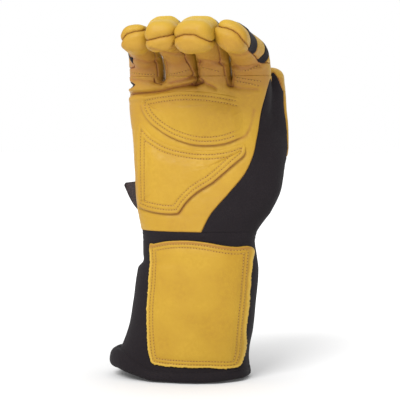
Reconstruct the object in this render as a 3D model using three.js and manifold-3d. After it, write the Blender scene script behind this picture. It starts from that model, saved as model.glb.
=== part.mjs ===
// A right-hand lineman glove, palm towards -Y, fingers up, thumb towards +X.
// Millimetres, +Z up. The origin is the centre of the opening at the cuff's rim.

import * as THREE from 'three';
import { mergeVertices } from 'three/addons/utils/BufferGeometryUtils.js';
import Module from 'manifold-3d';

const wasm = await Module();
wasm.setup();

// Driving dimensions
const wall = 2.0; // leather or fabric, seam allowance included
const seamGap = 0.3; // between neighbouring pieces
const patchThickness = 2.0; // the pads and patches sewn on top
const bandDepth = 1.0; // how deep the stretch bands sit in the finger backs
const cuffTop = 96.5; // top of the gauntlet cuff
const wristTop = 104.8; // top of the wrist band, where the palm leather ends
const webHeight = 206; // the crotches between the fingers
const fingerStart = 207.2; // the plane where the finger pieces begin
const hemHeight = 6.4; // the rolled binding at the rim
const hemThickness = 5.0;
const rimLift = 4; // how much higher the rim is at its two sides
const rimLiftReach = 45; // the lift fades out this far above the rim
const sideSplitY = 8; // front and back panels meet here along the sides
const pullTabY = 7; // the pull tab lies just in front of that seam
const pullTabThickness = 1.6;

// Numbers of sides and steps, kept low
const bodySides = 22;
const fingerSides = 12;
const hemSides = 6;
const fingerSteps = 6;
const tipAngles = [32, 62].map(THREE.MathUtils.degToRad);
const ovalPower = 2.35; // 2 is an ellipse, more is squarer

// Outer sections of the cuff: ulnar and radial edges in x, palm and back faces in y
const cuffSections = [
  { z: hemHeight + seamGap, ulnar: -50.0, radial: 47.0, palm: -30.4, back: 28.6 },
  { z: 20, ulnar: -45.2, radial: 46.8, palm: -29.2, back: 27.6 },
  { z: 34, ulnar: -39.9, radial: 49.0, palm: -28.0, back: 27.0 },
  { z: 75, ulnar: -33.0, radial: 52.4, palm: -25.2, back: 25.2 },
  { z: 84, ulnar: -29.6, radial: 52.0, palm: -24.2, back: 24.8 },
  { z: cuffTop - seamGap, ulnar: -29.4, radial: 50.4, palm: -23.0, back: 24.2 },
];

// Outer sections of the wrist and the hand, the same columns; cup is the palm's hollow
const handSections = [
  { z: 90, ulnar: -29.4, radial: 49.6, palm: -22.6, back: 23.6, cup: 0 },
  { z: wristTop, ulnar: -30.4, radial: 51.4, palm: -21.6, back: 23.0, cup: 0 },
  { z: 119, ulnar: -33.4, radial: 61.0, palm: -20.7, back: 21.6, cup: 1 },
  { z: 136, ulnar: -34.8, radial: 68.2, palm: -19.8, back: 20.0, cup: 2.5 },
  { z: 151, ulnar: -35.2, radial: 69.2, palm: -19.0, back: 19.2, cup: 3.0 },
  { z: 165, ulnar: -36.0, radial: 66.5, palm: -18.4, back: 18.8, cup: 2.5 },
  { z: 180, ulnar: -37.3, radial: 63.0, palm: -18.2, back: 18.6, cup: 1.2 },
  { z: 193, ulnar: -38.2, radial: 61.5, palm: -19.2, back: 16.4, cup: 0 },
  { z: webHeight, ulnar: -37.0, radial: 61.2, palm: -21.0, back: 5.5, cup: 0 },
];

// Fingers and thumb: joints from the root inside the palm to the centre of the tip,
// each with its half width and half depth; roll turns the seam about the finger
const digits = {
  pinky: {
    roll: 0,
    joints: [
      { x: -24.7, y: 1, z: 184, width: 11.7, depth: 11.5 },
      { x: -24.4, y: -14, z: 220.5, width: 11.3, depth: 11.0 },
      { x: -23.0, y: -33, z: 234.0, width: 10.2, depth: 10.6 },
      { x: -21.6, y: -48, z: 235.8, width: 8.9, depth: 9.6 },
    ],
  },
  ring: {
    roll: 0,
    joints: [
      { x: 0.4, y: 1, z: 184, width: 11.3, depth: 12.3 },
      { x: 0.2, y: -20, z: 224.0, width: 11.0, depth: 12.0 },
      { x: -0.4, y: -46, z: 237.0, width: 10.3, depth: 11.8 },
      { x: 0.3, y: -66, z: 235.6, width: 9.7, depth: 10.4 },
    ],
  },
  middle: {
    roll: 0,
    joints: [
      { x: 23.5, y: 1, z: 184, width: 10.9, depth: 12.3 },
      { x: 23.5, y: -20, z: 224.5, width: 11.1, depth: 12.0 },
      { x: 22.9, y: -48, z: 237.0, width: 11.7, depth: 12.0 },
      { x: 22.8, y: -70, z: 234.6, width: 12.0, depth: 11.2 },
    ],
  },
  index: {
    roll: 32,
    joints: [
      { x: 48.4, y: 1, z: 184, width: 13.2, depth: 12.5 },
      { x: 49.2, y: -19, z: 223.0, width: 12.8, depth: 11.8 },
      { x: 47.8, y: -45, z: 235.6, width: 11.6, depth: 11.2 },
      { x: 46.1, y: -62, z: 235.4, width: 10.8, depth: 10.2 },
    ],
  },
};
const thumb = {
  roll: 0,
  joints: [
    { x: 55.0, y: 5, z: 138, width: 12.0, depth: 12.0 },
    { x: 61.0, y: 8, z: 164, width: 12.7, depth: 12.6 },
    { x: 61.4, y: 10, z: 189, width: 11.6, depth: 11.6 },
    { x: 60.6, y: 10.5, z: 209, width: 10.0, depth: 10.0 },
  ],
};

// Where the stretch bands cross the finger backs, from 0 at the root to 3 at the tip
const stretchBands = {
  pinky: { knuckle: [1.28, 1.58], tip: [1.8, 2.16] },
  ring: { knuckle: [1.05, 1.32], tip: [1.6, 2.0] },
  middle: { knuckle: [1.05, 1.32], tip: [1.68, 2.08] },
  index: { knuckle: [1.05, 1.32], tip: [1.78, 2.52] },
};

// The gussets between the fingers: half width at the root, and where they run out
const gussetHalfWidth = 4.6;
const gussetReach = [0.35, 2.85];
const gussetSteps = 4;

// Colours of the materials
const finishes = {
  leather: { color: 0xdaae4a, roughness: 0.62, metalness: 0 },
  fabric: { color: 0x2d2a2d, roughness: 0.92, metalness: 0 },
  tab: { color: 0x3a2c2c, roughness: 0.85, metalness: 0 },
};

// Solids and meshes

function makeSolid(geometry) {
  geometry.deleteAttribute('normal');
  geometry.deleteAttribute('uv');
  const merged = mergeVertices(geometry, 1e-4);
  const vertProperties = new Float32Array(merged.attributes.position.array);
  const triVerts = new Uint32Array(merged.index.array);
  return new wasm.Manifold(new wasm.Mesh({ numProp: 3, vertProperties, triVerts }));
}

function largestPiece(solid) {
  const pieces = solid.decompose();
  pieces.sort((first, second) => second.volume() - first.volume());
  return pieces[0];
}

function joined(solids) {
  return solids.reduce((total, solid) => total.add(solid));
}

function makeMesh(name, finish, solid) {
  const { vertProperties, triVerts } = largestPiece(solid).getMesh();
  const geometry = new THREE.BufferGeometry();
  geometry.setAttribute('position', new THREE.BufferAttribute(vertProperties, 3));
  geometry.setIndex(new THREE.BufferAttribute(triVerts, 1));
  geometry.computeVertexNormals();
  const mesh = new THREE.Mesh(geometry, new THREE.MeshStandardMaterial(finishes[finish]));
  mesh.name = name;
  return mesh;
}

// A closed body through rings with the same number of points, capped at both ends,
// or joined end to end when it loops
function loft(rings, loops = false) {
  const sides = rings[0].length;
  const positions = rings.flat().flatMap((point) => [point.x, point.y, point.z]);
  const index = [];
  const spans = loops ? rings.length : rings.length - 1;
  for (let i = 0; i < spans; i += 1) {
    const lower = i * sides;
    const upper = ((i + 1) % rings.length) * sides;
    for (let j = 0; j < sides; j += 1) {
      const next = (j + 1) % sides;
      index.push(lower + j, lower + next, upper + next);
      index.push(lower + j, upper + next, upper + j);
    }
  }
  if (!loops) {
    [0, rings.length - 1].forEach((ringNumber) => {
      const centre = rings[ringNumber]
        .reduce((sum, point) => sum.add(point), new THREE.Vector3())
        .divideScalar(sides);
      const centreIndex = positions.length / 3;
      positions.push(centre.x, centre.y, centre.z);
      const start = ringNumber * sides;
      for (let j = 0; j < sides; j += 1) {
        const next = start + ((j + 1) % sides);
        if (ringNumber === 0) index.push(centreIndex, next, start + j);
        else index.push(centreIndex, start + j, next);
      }
    });
  }
  const geometry = new THREE.BufferGeometry();
  geometry.setAttribute('position', new THREE.Float32BufferAttribute(positions, 3));
  geometry.setIndex(index);
  return makeSolid(geometry);
}

// Sections of the cuff and the hand

function roundedStep(value) {
  return Math.sign(value) * Math.abs(value) ** (2 / ovalPower);
}

function sectionRing(section, grow) {
  const centre = (section.ulnar + section.radial) / 2;
  const halfWidth = (section.radial - section.ulnar) / 2 + grow;
  const ring = [];
  for (let i = 0; i < bodySides; i += 1) {
    const angle = (2 * Math.PI * i) / bodySides;
    const across = roundedStep(Math.cos(angle));
    const deep = roundedStep(Math.sin(angle));
    const x = centre + halfWidth * across;
    let y = deep > 0 ? (section.back + grow) * deep : (grow - section.palm) * deep;
    if (deep < 0) y += (section.cup ?? 0) * Math.cos((Math.PI / 2) * across) ** 2;
    const fade = Math.max(0, 1 - section.z / rimLiftReach);
    const z = section.z + rimLift * fade * across ** 2;
    ring.push(new THREE.Vector3(x, y, z));
  }
  return ring;
}

// Grown or shrunk by a distance; the shrunk form runs out past both of its ends
function cuffSolid(grow) {
  const rings = cuffSections.map((section) => sectionRing(section, grow));
  if (grow < 0) {
    rings[0].forEach((point) => point.setZ(point.z - wall));
    rings[rings.length - 1].forEach((point) => point.setZ(point.z + wall));
  }
  return loft(rings);
}

// Its top moves with it, so that the hollow ends one wall below the web
function palmSolid(grow) {
  const rings = handSections.map((section) => sectionRing(section, grow));
  const top = rings[rings.length - 1];
  top.forEach((point) => point.setZ(point.z + Math.min(grow, seamGap)));
  return loft(rings);
}

// Fingers

function digitCurve(digit) {
  const points = digit.joints.map(({ x, y, z }) => new THREE.Vector3(x, y, z));
  return new THREE.CatmullRomCurve3(points, false, 'centripetal');
}

// Centre, directions and half sizes of a digit at a place from 0 at the root to 3 at the tip
function digitStation(digit, place) {
  const curve = digitCurve(digit);
  const last = digit.joints.length - 1;
  const lower = Math.min(Math.floor(place), last - 1);
  const share = place - lower;
  const mix = (key) =>
    THREE.MathUtils.lerp(digit.joints[lower][key], digit.joints[lower + 1][key], share);
  const centre = curve.getPoint(place / last);
  const along = curve.getTangent(place / last);
  const side = new THREE.Vector3(1, 0, 0).addScaledVector(along, -along.x).normalize();
  const dorsal = new THREE.Vector3().crossVectors(along, side);
  return { centre, along, side, dorsal, width: mix('width'), depth: mix('depth') };
}

function digitRing(station, grow, advance, shrink) {
  const ring = [];
  for (let i = 0; i < fingerSides; i += 1) {
    const angle = (2 * Math.PI * i) / fingerSides;
    const across = Math.cos(angle) * (station.width + grow) * shrink;
    const deep = Math.sin(angle) * (station.depth + grow) * shrink;
    ring.push(station.centre.clone()
      .addScaledVector(station.along, advance)
      .addScaledVector(station.side, across)
      .addScaledVector(station.dorsal, deep));
  }
  return ring;
}

function digitSolid(digit, grow) {
  const last = digit.joints.length - 1;
  const rings = [];
  for (let i = 0; i <= fingerSteps; i += 1) {
    rings.push(digitRing(digitStation(digit, (last * i) / fingerSteps), grow, 0, 1));
  }
  const tip = digitStation(digit, last);
  tipAngles.forEach((angle) => {
    const advance = (tip.depth + grow) * Math.sin(angle);
    rings.push(digitRing(tip, grow, advance, Math.cos(angle)));
  });
  return loft(rings);
}

// Cutters

function shapeFrom(points) {
  return new THREE.Shape(points.map(([first, second]) => new THREE.Vector2(first, second)));
}

// An outline of x and z, through the part from the face at yFront to the one at yBack
function cutAlongY(points, yFront, yBack) {
  const depth = yBack - yFront;
  const geometry = new THREE.ExtrudeGeometry(shapeFrom(points), { depth, bevelEnabled: false });
  geometry.rotateX(Math.PI / 2);
  geometry.translate(0, yBack, 0);
  return makeSolid(geometry);
}

// An outline of y and z, across the part from xStart to xEnd. It leans by slope about
// leanCentre, down and towards the palm as x grows
function cutAlongX(points, xStart, xEnd, slope = 0, leanCentre = 0) {
  const depth = xEnd - xStart;
  const geometry = new THREE.ExtrudeGeometry(shapeFrom(points), { depth, bevelEnabled: false });
  const turn = new THREE.Matrix4().makeBasis(
    new THREE.Vector3(0, 1, 0),
    new THREE.Vector3(0, 0, 1),
    new THREE.Vector3(1, 0, 0),
  );
  geometry.applyMatrix4(turn);
  geometry.translate(xStart, 0, 0);
  const lean = new THREE.Matrix4().makeShear(-slope, -slope, 0, 0, 0, 0);
  geometry.translate(-leanCentre, 0, 0);
  geometry.applyMatrix4(lean);
  geometry.translate(leanCentre, 0, 0);
  return makeSolid(geometry);
}

// A smooth line through a few points of an outline
function smooth(points, steps) {
  const curve = new THREE.SplineCurve(points.map(([x, y]) => new THREE.Vector2(x, y)));
  return curve.getPoints(steps).map((point) => [point.x, point.y]);
}

// The same line moved sideways, to the right of its direction
function shifted(points, distance) {
  return points.map(([x, y], i) => {
    const [xBefore, yBefore] = points[Math.max(i - 1, 0)];
    const [xAfter, yAfter] = points[Math.min(i + 1, points.length - 1)];
    const length = Math.hypot(xAfter - xBefore, yAfter - yBefore);
    const right = [(yAfter - yBefore) / length, (xBefore - xAfter) / length];
    return [x + right[0] * distance, y + right[1] * distance];
  });
}

// How far the cutters reach past the glove
const reach = { left: -90, right: 110, front: -110, back: 60, bottom: -20, top: 290 };

// The radial edge of the palm leather, x and z from the wrist up to the index finger
const palmEdge = smooth([
  [14.5, 98], [17.4, 105], [24, 118], [35.5, 131.5], [46.4, 145],
  [52, 157.5], [54.4, 169.6], [57, 186], [60.6, 199], [64, 212],
], 9);

// Where front and back panels of the hand meet, y and z, from the wrist up
const handSplit = [[sideSplitY, 90], [sideSplitY, 172], [3, 190], [-4, 201], [-8, 212]];

// Palm side of the hand, left of the palm leather's edge
function palmRegion(grow) {
  const edge = shifted(palmEdge, grow);
  const outline = [[reach.left, 98], ...edge, [reach.left, 212]];
  const split = shifted(handSplit, grow);
  const profile = [[reach.front, 90], ...split, [reach.front, 212]];
  const frontView = cutAlongY(outline, reach.front, reach.back);
  return frontView.intersect(cutAlongX(profile, reach.left, reach.right));
}

// The front of the thumb and of its base, which the palm leather leaves over
function thumbSideRegion(grow) {
  const outline = [
    [4 - grow, 90], [4 - grow, 120], [44 - grow, 170], [51.5 - grow, 200],
    [51.5 - grow, 240], [reach.right, 240], [reach.right, 90],
  ];
  return cutAlongY(outline, reach.front, sideSplitY + grow);
}

// The back of the thumb above its base
function thumbBackRegion(grow) {
  const outline = [
    [48 - grow, 240], [reach.right, 240], [reach.right, 158 - grow],
    [66, 156 - grow], [55 - grow, 164 - grow], [50 - grow, 186],
  ];
  return cutAlongY(outline, sideSplitY - grow, reach.back);
}

function layer(low, high) {
  const outline = [[reach.left, low], [reach.right, low], [reach.right, high], [reach.left, high]];
  return cutAlongY(outline, reach.front, reach.back);
}

// The centre line of a digit in y and z, run on past both ends
function sideLine(digit) {
  const curve = digitCurve(digit);
  const line = curve.getPoints(gussetSteps).map((point) => [point.y, point.z]);
  const start = curve.getPoint(0).addScaledVector(curve.getTangent(0), -40);
  const end = curve.getPoint(1).addScaledVector(curve.getTangent(1), 40);
  return [[start.y, start.z], ...line, [end.y, end.z]];
}

// The palm side or the back of a digit, with half a seam gap left along the seam
function digitHalf(digit, isBack) {
  const line = shifted(sideLine(digit), isBack ? seamGap / 2 : -seamGap / 2);
  const farEnd = isBack
    ? [[reach.front, reach.top], [reach.back, reach.top], [reach.back, 130]]
    : [[reach.front, 130]];
  const { x } = digit.joints[2];
  const slope = Math.tan(THREE.MathUtils.degToRad(digit.roll));
  const halfSpan = 16;
  return cutAlongX([...line, ...farEnd], x - halfSpan, x + halfSpan, slope, x);
}

// A strip along the side of a digit that narrows to nothing near its tip
function gussetStrip(digit, xStart, xEnd, grow) {
  const [first, last] = gussetReach;
  const front = [];
  const back = [];
  for (let i = 0; i <= gussetSteps; i += 1) {
    const share = i / gussetSteps;
    const { centre, dorsal } = digitStation(digit, first + share * (last - first));
    const half = gussetHalfWidth * (1 - share ** 3) + 0.4 + grow;
    front.push([centre.y - dorsal.y * half, centre.z - dorsal.z * half]);
    back.unshift([centre.y + dorsal.y * half, centre.z + dorsal.z * half]);
  }
  return cutAlongX([...front, ...back], xStart, xEnd);
}

// A slice of a digit between two places, square to its centre line, from below to above it
const sliceAbove = 20;
const sliceBelow = 13;

function digitSlice(digit, [from, to], inset) {
  const corners = [];
  [from, (from + to) / 2, to].forEach((place, i) => {
    const { centre, along, dorsal } = digitStation(digit, place);
    const move = inset * (1 - i);
    const foot = centre.clone().addScaledVector(along, move);
    const head = foot.clone().addScaledVector(dorsal, sliceAbove);
    const tail = foot.clone().addScaledVector(dorsal, -sliceBelow);
    corners.push({ head: [head.y, head.z], tail: [tail.y, tail.z] });
  });
  const outline = [
    ...corners.map((corner) => corner.tail),
    ...corners.map((corner) => corner.head).reverse(),
  ];
  const { x } = digit.joints[1];
  return cutAlongX(outline, x - 20, x + 20);
}

// The glove as one skin, before it is cut into its pieces

const digitList = [...Object.values(digits), thumb];

function handForm(grow) {
  return joined([palmSolid(grow), ...digitList.map((digit) => digitSolid(digit, grow))]);
}

const handSkin = handForm(0).subtract(handForm(-wall)).subtract(layer(reach.bottom, wristTop));
const fingerZone = layer(fingerStart, reach.top);
const palmZone = layer(reach.bottom, fingerStart - seamGap);

// The middle of the gap between two neighbouring fingers
function gapCentre(first, second) {
  const a = first.joints[1];
  const b = second.joints[1];
  return (a.x + a.width + b.x - b.width) / 2;
}

const fingerNames = Object.keys(digits);
const gapCentres = fingerNames.slice(1).map((name, i) =>
  gapCentre(digits[fingerNames[i]], digits[name]));

// A gusset is one strip that runs up both fingers and through the crotch between them
function gussetRegion(gap, grow) {
  const first = digits[fingerNames[gap]];
  const second = digits[fingerNames[gap + 1]];
  const middleX = gapCentres[gap];
  return gussetStrip(first, first.joints[1].x, middleX + 1, grow)
    .add(gussetStrip(second, middleX - 1, second.joints[1].x, grow));
}

const allGussets = joined(gapCentres.map((_, gap) => gussetRegion(gap, seamGap)));

// Each sub-part

function addFinger(group, name, number) {
  const digit = digits[name];
  const left = number === 0 ? reach.left : gapCentres[number - 1];
  const right = number === fingerNames.length - 1 ? reach.right : gapCentres[number];
  const slot = cutAlongY(
    [[left, fingerStart], [right, fingerStart], [right, reach.top], [left, reach.top]],
    reach.front,
    reach.back,
  );
  const skin = digitSolid(digit, 0).subtract(digitSolid(digit, -wall))
    .intersect(slot)
    .subtract(allGussets);
  group.add(makeMesh(`${name}_front`, 'leather', skin.intersect(digitHalf(digit, false))));
  let back = skin.intersect(digitHalf(digit, true));
  const floor = digitSolid(digit, -bandDepth);
  const bandForm = digitSolid(digit, 0).subtract(digitSolid(digit, seamGap - bandDepth));
  Object.entries(stretchBands[name]).forEach(([place, span]) => {
    const channel = digitSlice(digit, span, 0).subtract(floor);
    const band = bandForm.intersect(digitSlice(digit, span, seamGap)).intersect(back);
    group.add(makeMesh(`${name}_${place}_band`, 'fabric', band));
    back = back.subtract(channel);
  });
  group.add(makeMesh(`${name}_back`, 'leather', back));
}

function addGussets(group) {
  gapCentres.forEach((_, gap) => {
    const name = `gusset_${fingerNames[gap]}_${fingerNames[gap + 1]}`;
    group.add(makeMesh(name, 'leather', handSkin.intersect(gussetRegion(gap, 0))));
  });
}

function addHand(group) {
  const half = seamGap / 2;
  const thumbTop = digitSolid(thumb, 0)
    .subtract(digitSolid(thumb, -wall))
    .intersect(layer(webHeight, reach.top))
    .subtract(digitSolid(digits.index, seamGap));
  const body = handSkin.intersect(palmZone).add(thumbTop).subtract(allGussets);
  const palm = body.intersect(palmRegion(-half));
  const thumbBack = body.intersect(thumbBackRegion(-half));
  const thumbSide = body.intersect(thumbSideRegion(-half)).subtract(palmRegion(half));
  const back = body
    .subtract(palmRegion(half))
    .subtract(thumbBackRegion(half))
    .subtract(thumbSideRegion(half));
  group.add(makeMesh('palm_leather', 'leather', palm));
  group.add(makeMesh('thumb_back', 'leather', thumbBack));
  group.add(makeMesh('thumb_side_panel', 'fabric', thumbSide));
  group.add(makeMesh('hand_back', 'fabric', back));
}

// A pad sewn on the outside of a form, within an outline seen from the front
function skinPad(form, outline, yFront, yBack) {
  return form(seamGap + patchThickness)
    .subtract(form(seamGap))
    .intersect(cutAlongY(outline, yFront, yBack));
}

// Outlines of the sewn pads, x and z
const upperPadOutline = smooth([
  [-22, 198.5], [2.7, 201.6], [27, 200.2], [51, 194.2], [51.5, 184], [47.5, 172.2],
  [41, 168.6], [32, 165.6], [20.5, 164.4], [9.5, 165.4], [-3, 169.4], [-13, 175],
  [-21.8, 182.6], [-26, 190.5], [-25.4, 195.6], [-22, 198.5],
], 20);
const lowerPadOutline = [
  ...smooth([[-29.6, 177.4], [-19.6, 171.6], [-8, 165.4], [6.4, 162], [20.4, 161],
    [34.3, 162.6], [45.6, 166]], 9),
  ...smooth([[46.4, 158.6], [39, 151.6], [25.5, 139.8], [13.6, 132], [5.9, 124.6], [1.8, 118.6]], 7),
  ...smooth([[-1, 117.4], [-11.8, 117.6], [-27, 121]], 3),
  [-30, 128],
];
const knuckleGuardOutline = smooth([
  [-31, 180], [-33, 189], [-27, 199], [-12, 202], [12, 203], [32, 202], [43, 198],
  [45, 188], [41, 178], [30, 173], [10, 170], [-12, 173], [-31, 180],
], 13);
const pullTabOutline = [[-44.5, 135.5], [-43.6, 137.4], [-25, 139], [-25, 116], [-35.4, 119.4]];
const cuffPatchOutline = [
  [-20, 95], [8, 96], [24, 95.6], [38, 94.4], [48, 94.8],
  [50, 91], [49.6, 78], [48.6, 62], [47, 42], [45.6, 24], [44, 16],
  [40.5, 12], [24, 12.6], [4, 13], [-13, 14],
  [-17.2, 18], [-19.8, 33], [-20.6, 52], [-19.4, 70], [-19.2, 82],
];

function addPads(group) {
  const palmPads = [
    ['palm_pad_upper', upperPadOutline],
    ['palm_pad_lower', lowerPadOutline],
  ];
  palmPads.forEach(([name, outline]) => {
    group.add(makeMesh(name, 'leather', skinPad(handForm, outline, reach.front, -4)));
  });
  const guard = skinPad(palmSolid, knuckleGuardOutline, 4, reach.back);
  group.add(makeMesh('knuckle_guard', 'leather', guard));
}

function addCuff(group) {
  group.add(makeMesh('cuff_sleeve', 'fabric', cuffSolid(0).subtract(cuffSolid(-wall))));
  group.add(makeMesh('cuff_patch', 'leather', skinPad(cuffSolid, cuffPatchOutline, reach.front, -3)));
  const band = palmSolid(0)
    .subtract(palmSolid(-wall))
    .intersect(layer(cuffTop, wristTop - seamGap));
  group.add(makeMesh('wrist_band', 'fabric', band));
  group.add(makeMesh('cuff_hem', 'fabric', hemSolid()));
}

// The rolled binding, an upright oval section carried round the rim
function hemSolid() {
  const rim = sectionRing(cuffSections[0], -wall / 2);
  const centre = rim
    .reduce((sum, point) => sum.add(point), new THREE.Vector3())
    .divideScalar(rim.length);
  const rings = rim.map((point) => {
    const outward = new THREE.Vector3().subVectors(point, centre).setZ(0).normalize();
    const ring = [];
    for (let i = 0; i < hemSides; i += 1) {
      const angle = (2 * Math.PI * i) / hemSides;
      ring.push(point.clone()
        .addScaledVector(outward, (hemThickness / 2) * Math.cos(angle))
        .setZ(point.z - seamGap - (hemHeight / 2) * (1 - Math.sin(angle))));
    }
    return ring;
  });
  return loft(rings.reverse(), true);
}

// The small pull tab that stands out of the ulnar seam above the cuff
function addPullTab(group) {
  const tab = cutAlongY(pullTabOutline, pullTabY - pullTabThickness, pullTabY)
    .subtract(handForm(seamGap));
  group.add(makeMesh('pull_tab', 'tab', tab));
}

const model = new THREE.Group();
addHand(model);
addGussets(model);
fingerNames.forEach((name, number) => addFinger(model, name, number));
addPads(model);
addCuff(model);
addPullTab(model);

export default model;
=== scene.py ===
# A right-hand lineman glove in golden leather and black knit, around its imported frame.
# Palm towards -Y, fingers up. The shapes are worked out in millimetres.

import math

import bpy
import numpy as np
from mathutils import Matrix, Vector, noise
from mathutils.bvhtree import BVHTree
from mathutils.kdtree import KDTree


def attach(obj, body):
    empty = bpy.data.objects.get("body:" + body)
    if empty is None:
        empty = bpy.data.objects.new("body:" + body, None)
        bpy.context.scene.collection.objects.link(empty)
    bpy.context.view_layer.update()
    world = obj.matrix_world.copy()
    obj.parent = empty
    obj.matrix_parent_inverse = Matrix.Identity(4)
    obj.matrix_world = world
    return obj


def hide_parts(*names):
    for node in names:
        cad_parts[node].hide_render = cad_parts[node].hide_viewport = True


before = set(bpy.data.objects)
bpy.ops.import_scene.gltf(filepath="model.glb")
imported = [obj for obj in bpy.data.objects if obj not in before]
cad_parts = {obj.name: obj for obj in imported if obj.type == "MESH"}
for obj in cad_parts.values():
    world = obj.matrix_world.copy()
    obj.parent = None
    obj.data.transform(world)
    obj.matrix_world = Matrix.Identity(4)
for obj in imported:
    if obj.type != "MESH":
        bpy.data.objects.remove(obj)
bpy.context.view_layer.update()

METRES = 0.001  # one millimetre

# Driving dimensions
WALL = 1.6
BAND_WALL = 1.2
RIM_HEIGHT = 6.7
CUFF_TOP = 96.5
WRIST_TOP = 104.8
WEB_HEIGHT = 206.0
WEB_ROUNDING = 8.0
FINGERS_FROM = 176.0
FINGER_START = 211.5
SKIRT = 0.6  # the finger skins reach this far down, and this deep, inside the hand's
SKIRT_DEPTH = 0.22
SIDE_SPLIT_Y = 8.0
RIM_LIFT = 4.0
RIM_LIFT_REACH = 45.0
OVAL_POWER = 2.35
DIGIT_POWER = 2.25
CAP_SHARE = 0.86

# How fine the skins are worked out, and how they blend
SKIN_STEP = 1.0
CURVE_STEPS = 10
CHECK_STEP = 0.05
LEAST_PALM_SLOPE = 1 / 60
LEAST_DIGIT_SLOPE = 1 / 20
LEAST_SQUARE_SLOPE = 0.2
TINY = 1e-6
FAR = 99.0
WEB_BLEND = 5.0
THUMB_BLEND = 7.0
THUMB_TIP_BLEND = 1.2
THUMB_PARTS = (168, 196)  # over these heights the thumb parts from the hand

# Sections of the cuff: height, ulnar and radial edges in x, palm and back faces in y
CUFF_SECTIONS = np.array([
    (6.7, -49.2, 47.0, -30.4, 28.6),
    (13, -47.8, 46.4, -29.8, 28.1),
    (20, -44.2, 46.8, -29.2, 27.6),
    (34, -38.9, 49.4, -28.0, 27.0),
    (55, -35.4, 51.6, -26.6, 26.1),
    (75, -32.6, 53.2, -25.2, 25.2),
    (79, -31.6, 53.2, -24.8, 25.1),
    (82, -28.6, 52.8, -24.4, 24.9),
    (89, -28.2, 51.8, -23.7, 24.5),
    (96.2, -28.3, 50.8, -23.0, 24.2),
    (102, -28.5, 51.6, -22.6, 24.0),
])

# Sections of the hand, the same columns and the palm's hollow
HAND_SECTIONS = np.array([
    (90, -28.2, 50.0, -22.6, 23.6, 0),
    (104.8, -29.2, 52.6, -21.6, 23.0, 0),
    (119, -32.2, 62.4, -20.7, 21.6, 1),
    (136, -34.0, 68.4, -19.8, 20.0, 2.5),
    (151, -34.6, 68.4, -19.0, 19.2, 3.0),
    (165, -35.4, 65.8, -18.4, 18.8, 2.5),
    (180, -36.4, 62.0, -18.2, 18.6, 1.2),
    (193, -37.2, 60.0, -19.2, 16.4, 0),
    (206, -36.0, 60.0, -21.0, 5.5, 0),
    (220, -36.0, 60.0, -23.0, -4.0, 0),
])

# Joints of each digit from its root to the centre of its tip: x, y, z, half width and
# half depth. The seam is where front and back meet on the tip: across and dorsal. Roll turns
# that seam about the finger at its base and at its tip, and lean turns the section itself
DIGITS = {
    "pinky": {
        "roll": (-52, -16),
        "lean": 0,
        "square": 0.5,
        "bands": [("knuckle", 1.34, 1.68), ("tip", 1.86, 2.20)],
        "joints": [(-23.6, 1, 184, 12.0, 11.5), (-22.9, -14, 220.0, 12.2, 11.0),
                   (-22.0, -33, 233.4, 9.7, 10.2), (-21.6, -48, 235.4, 9.2, 9.1)],
        "seam": [(-9, 0.5), (-4, 3.6), (1, 3.6), (6, 3.0), (9, 4.0)],
    },
    "ring": {
        "roll": (0, 0),
        "lean": 0,
        "square": 0.6,
        "bands": [("knuckle", 1.05, 1.32), ("tip", 1.60, 2.00)],
        "joints": [(1.8, 1, 184, 11.6, 12.3), (2.3, -20, 223.6, 11.6, 12.0),
                   (-0.8, -46, 238.0, 10.6, 11.9), (0.8, -66, 235.8, 10.4, 10.2)],
        "seam": [(-9, -2.0), (-4, -1.0), (1, 0.2), (5, 0.6), (10, 1.8)],
    },
    "middle": {
        "roll": (0, 0),
        "lean": 0,
        "square": 0.6,
        "bands": [("knuckle", 1.05, 1.32), ("tip", 1.68, 2.08)],
        "joints": [(24.8, 1, 184, 11.0, 12.3), (25.2, -20, 224.0, 11.5, 12.0),
                   (23.6, -48, 237.2, 12.4, 12.0), (23.2, -70, 235.2, 12.4, 10.8)],
        "seam": [(-12, -0.5), (-5, 1.6), (2, 1.4), (7, -1.0), (12, -3.4)],
    },
    "index": {
        "roll": (42, 42),
        "lean": 36,
        "square": 0.0,
        "bands": [("knuckle", 1.05, 1.32), ("tip", 1.78, 2.52)],
        "joints": [(48.4, 1, 184, 13.0, 12.5), (50.4, -19, 222.4, 13.4, 11.8),
                   (46.6, -45, 233.8, 12.4, 9.6), (45.4, -62, 235.2, 11.6, 9.2)],
        "seam": [(-11, -2.0), (-5, 1.0), (-1.4, 3.7), (3.1, 6.0), (6.3, 6.6), (11.3, 4.2)],
    },
}
THUMB = {
    "roll": (0, 0),
    "lean": 0,
    "square": 0.2,
    "joints": [(55.0, 5, 138, 12.0, 12.0), (60.2, 8, 164, 12.5, 12.6),
               (60.0, 10, 189, 11.2, 11.6), (59.6, 10.5, 209.2, 9.6, 10.0)],
    "seam": [(-10, 0), (10, 0)],
}
FINGER_NAMES = list(DIGITS)

# Places along a finger over which its section leans, squares, tapers and swells again
LEAN_PLACES = (1.0, 1.8)
SQUARE_PLACES = (1.2, 2.2)
TAPER_STARTS = (0.7, 1.3)
TAPER_ENDS = (2.2, 2.9)
FRONT_TAPER = 0.30
ROOT_PLACE = 0.01
END_PLACE = 2.99

# The gussets between the fingers, in dorsal offsets and places
GUSSET_FRONT = -8.0
GUSSET_BACK = 3.0
GUSSET_END = 2.75
CROTCH_LEAST = 0.5
CROTCH_REACH = 6.0

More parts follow.
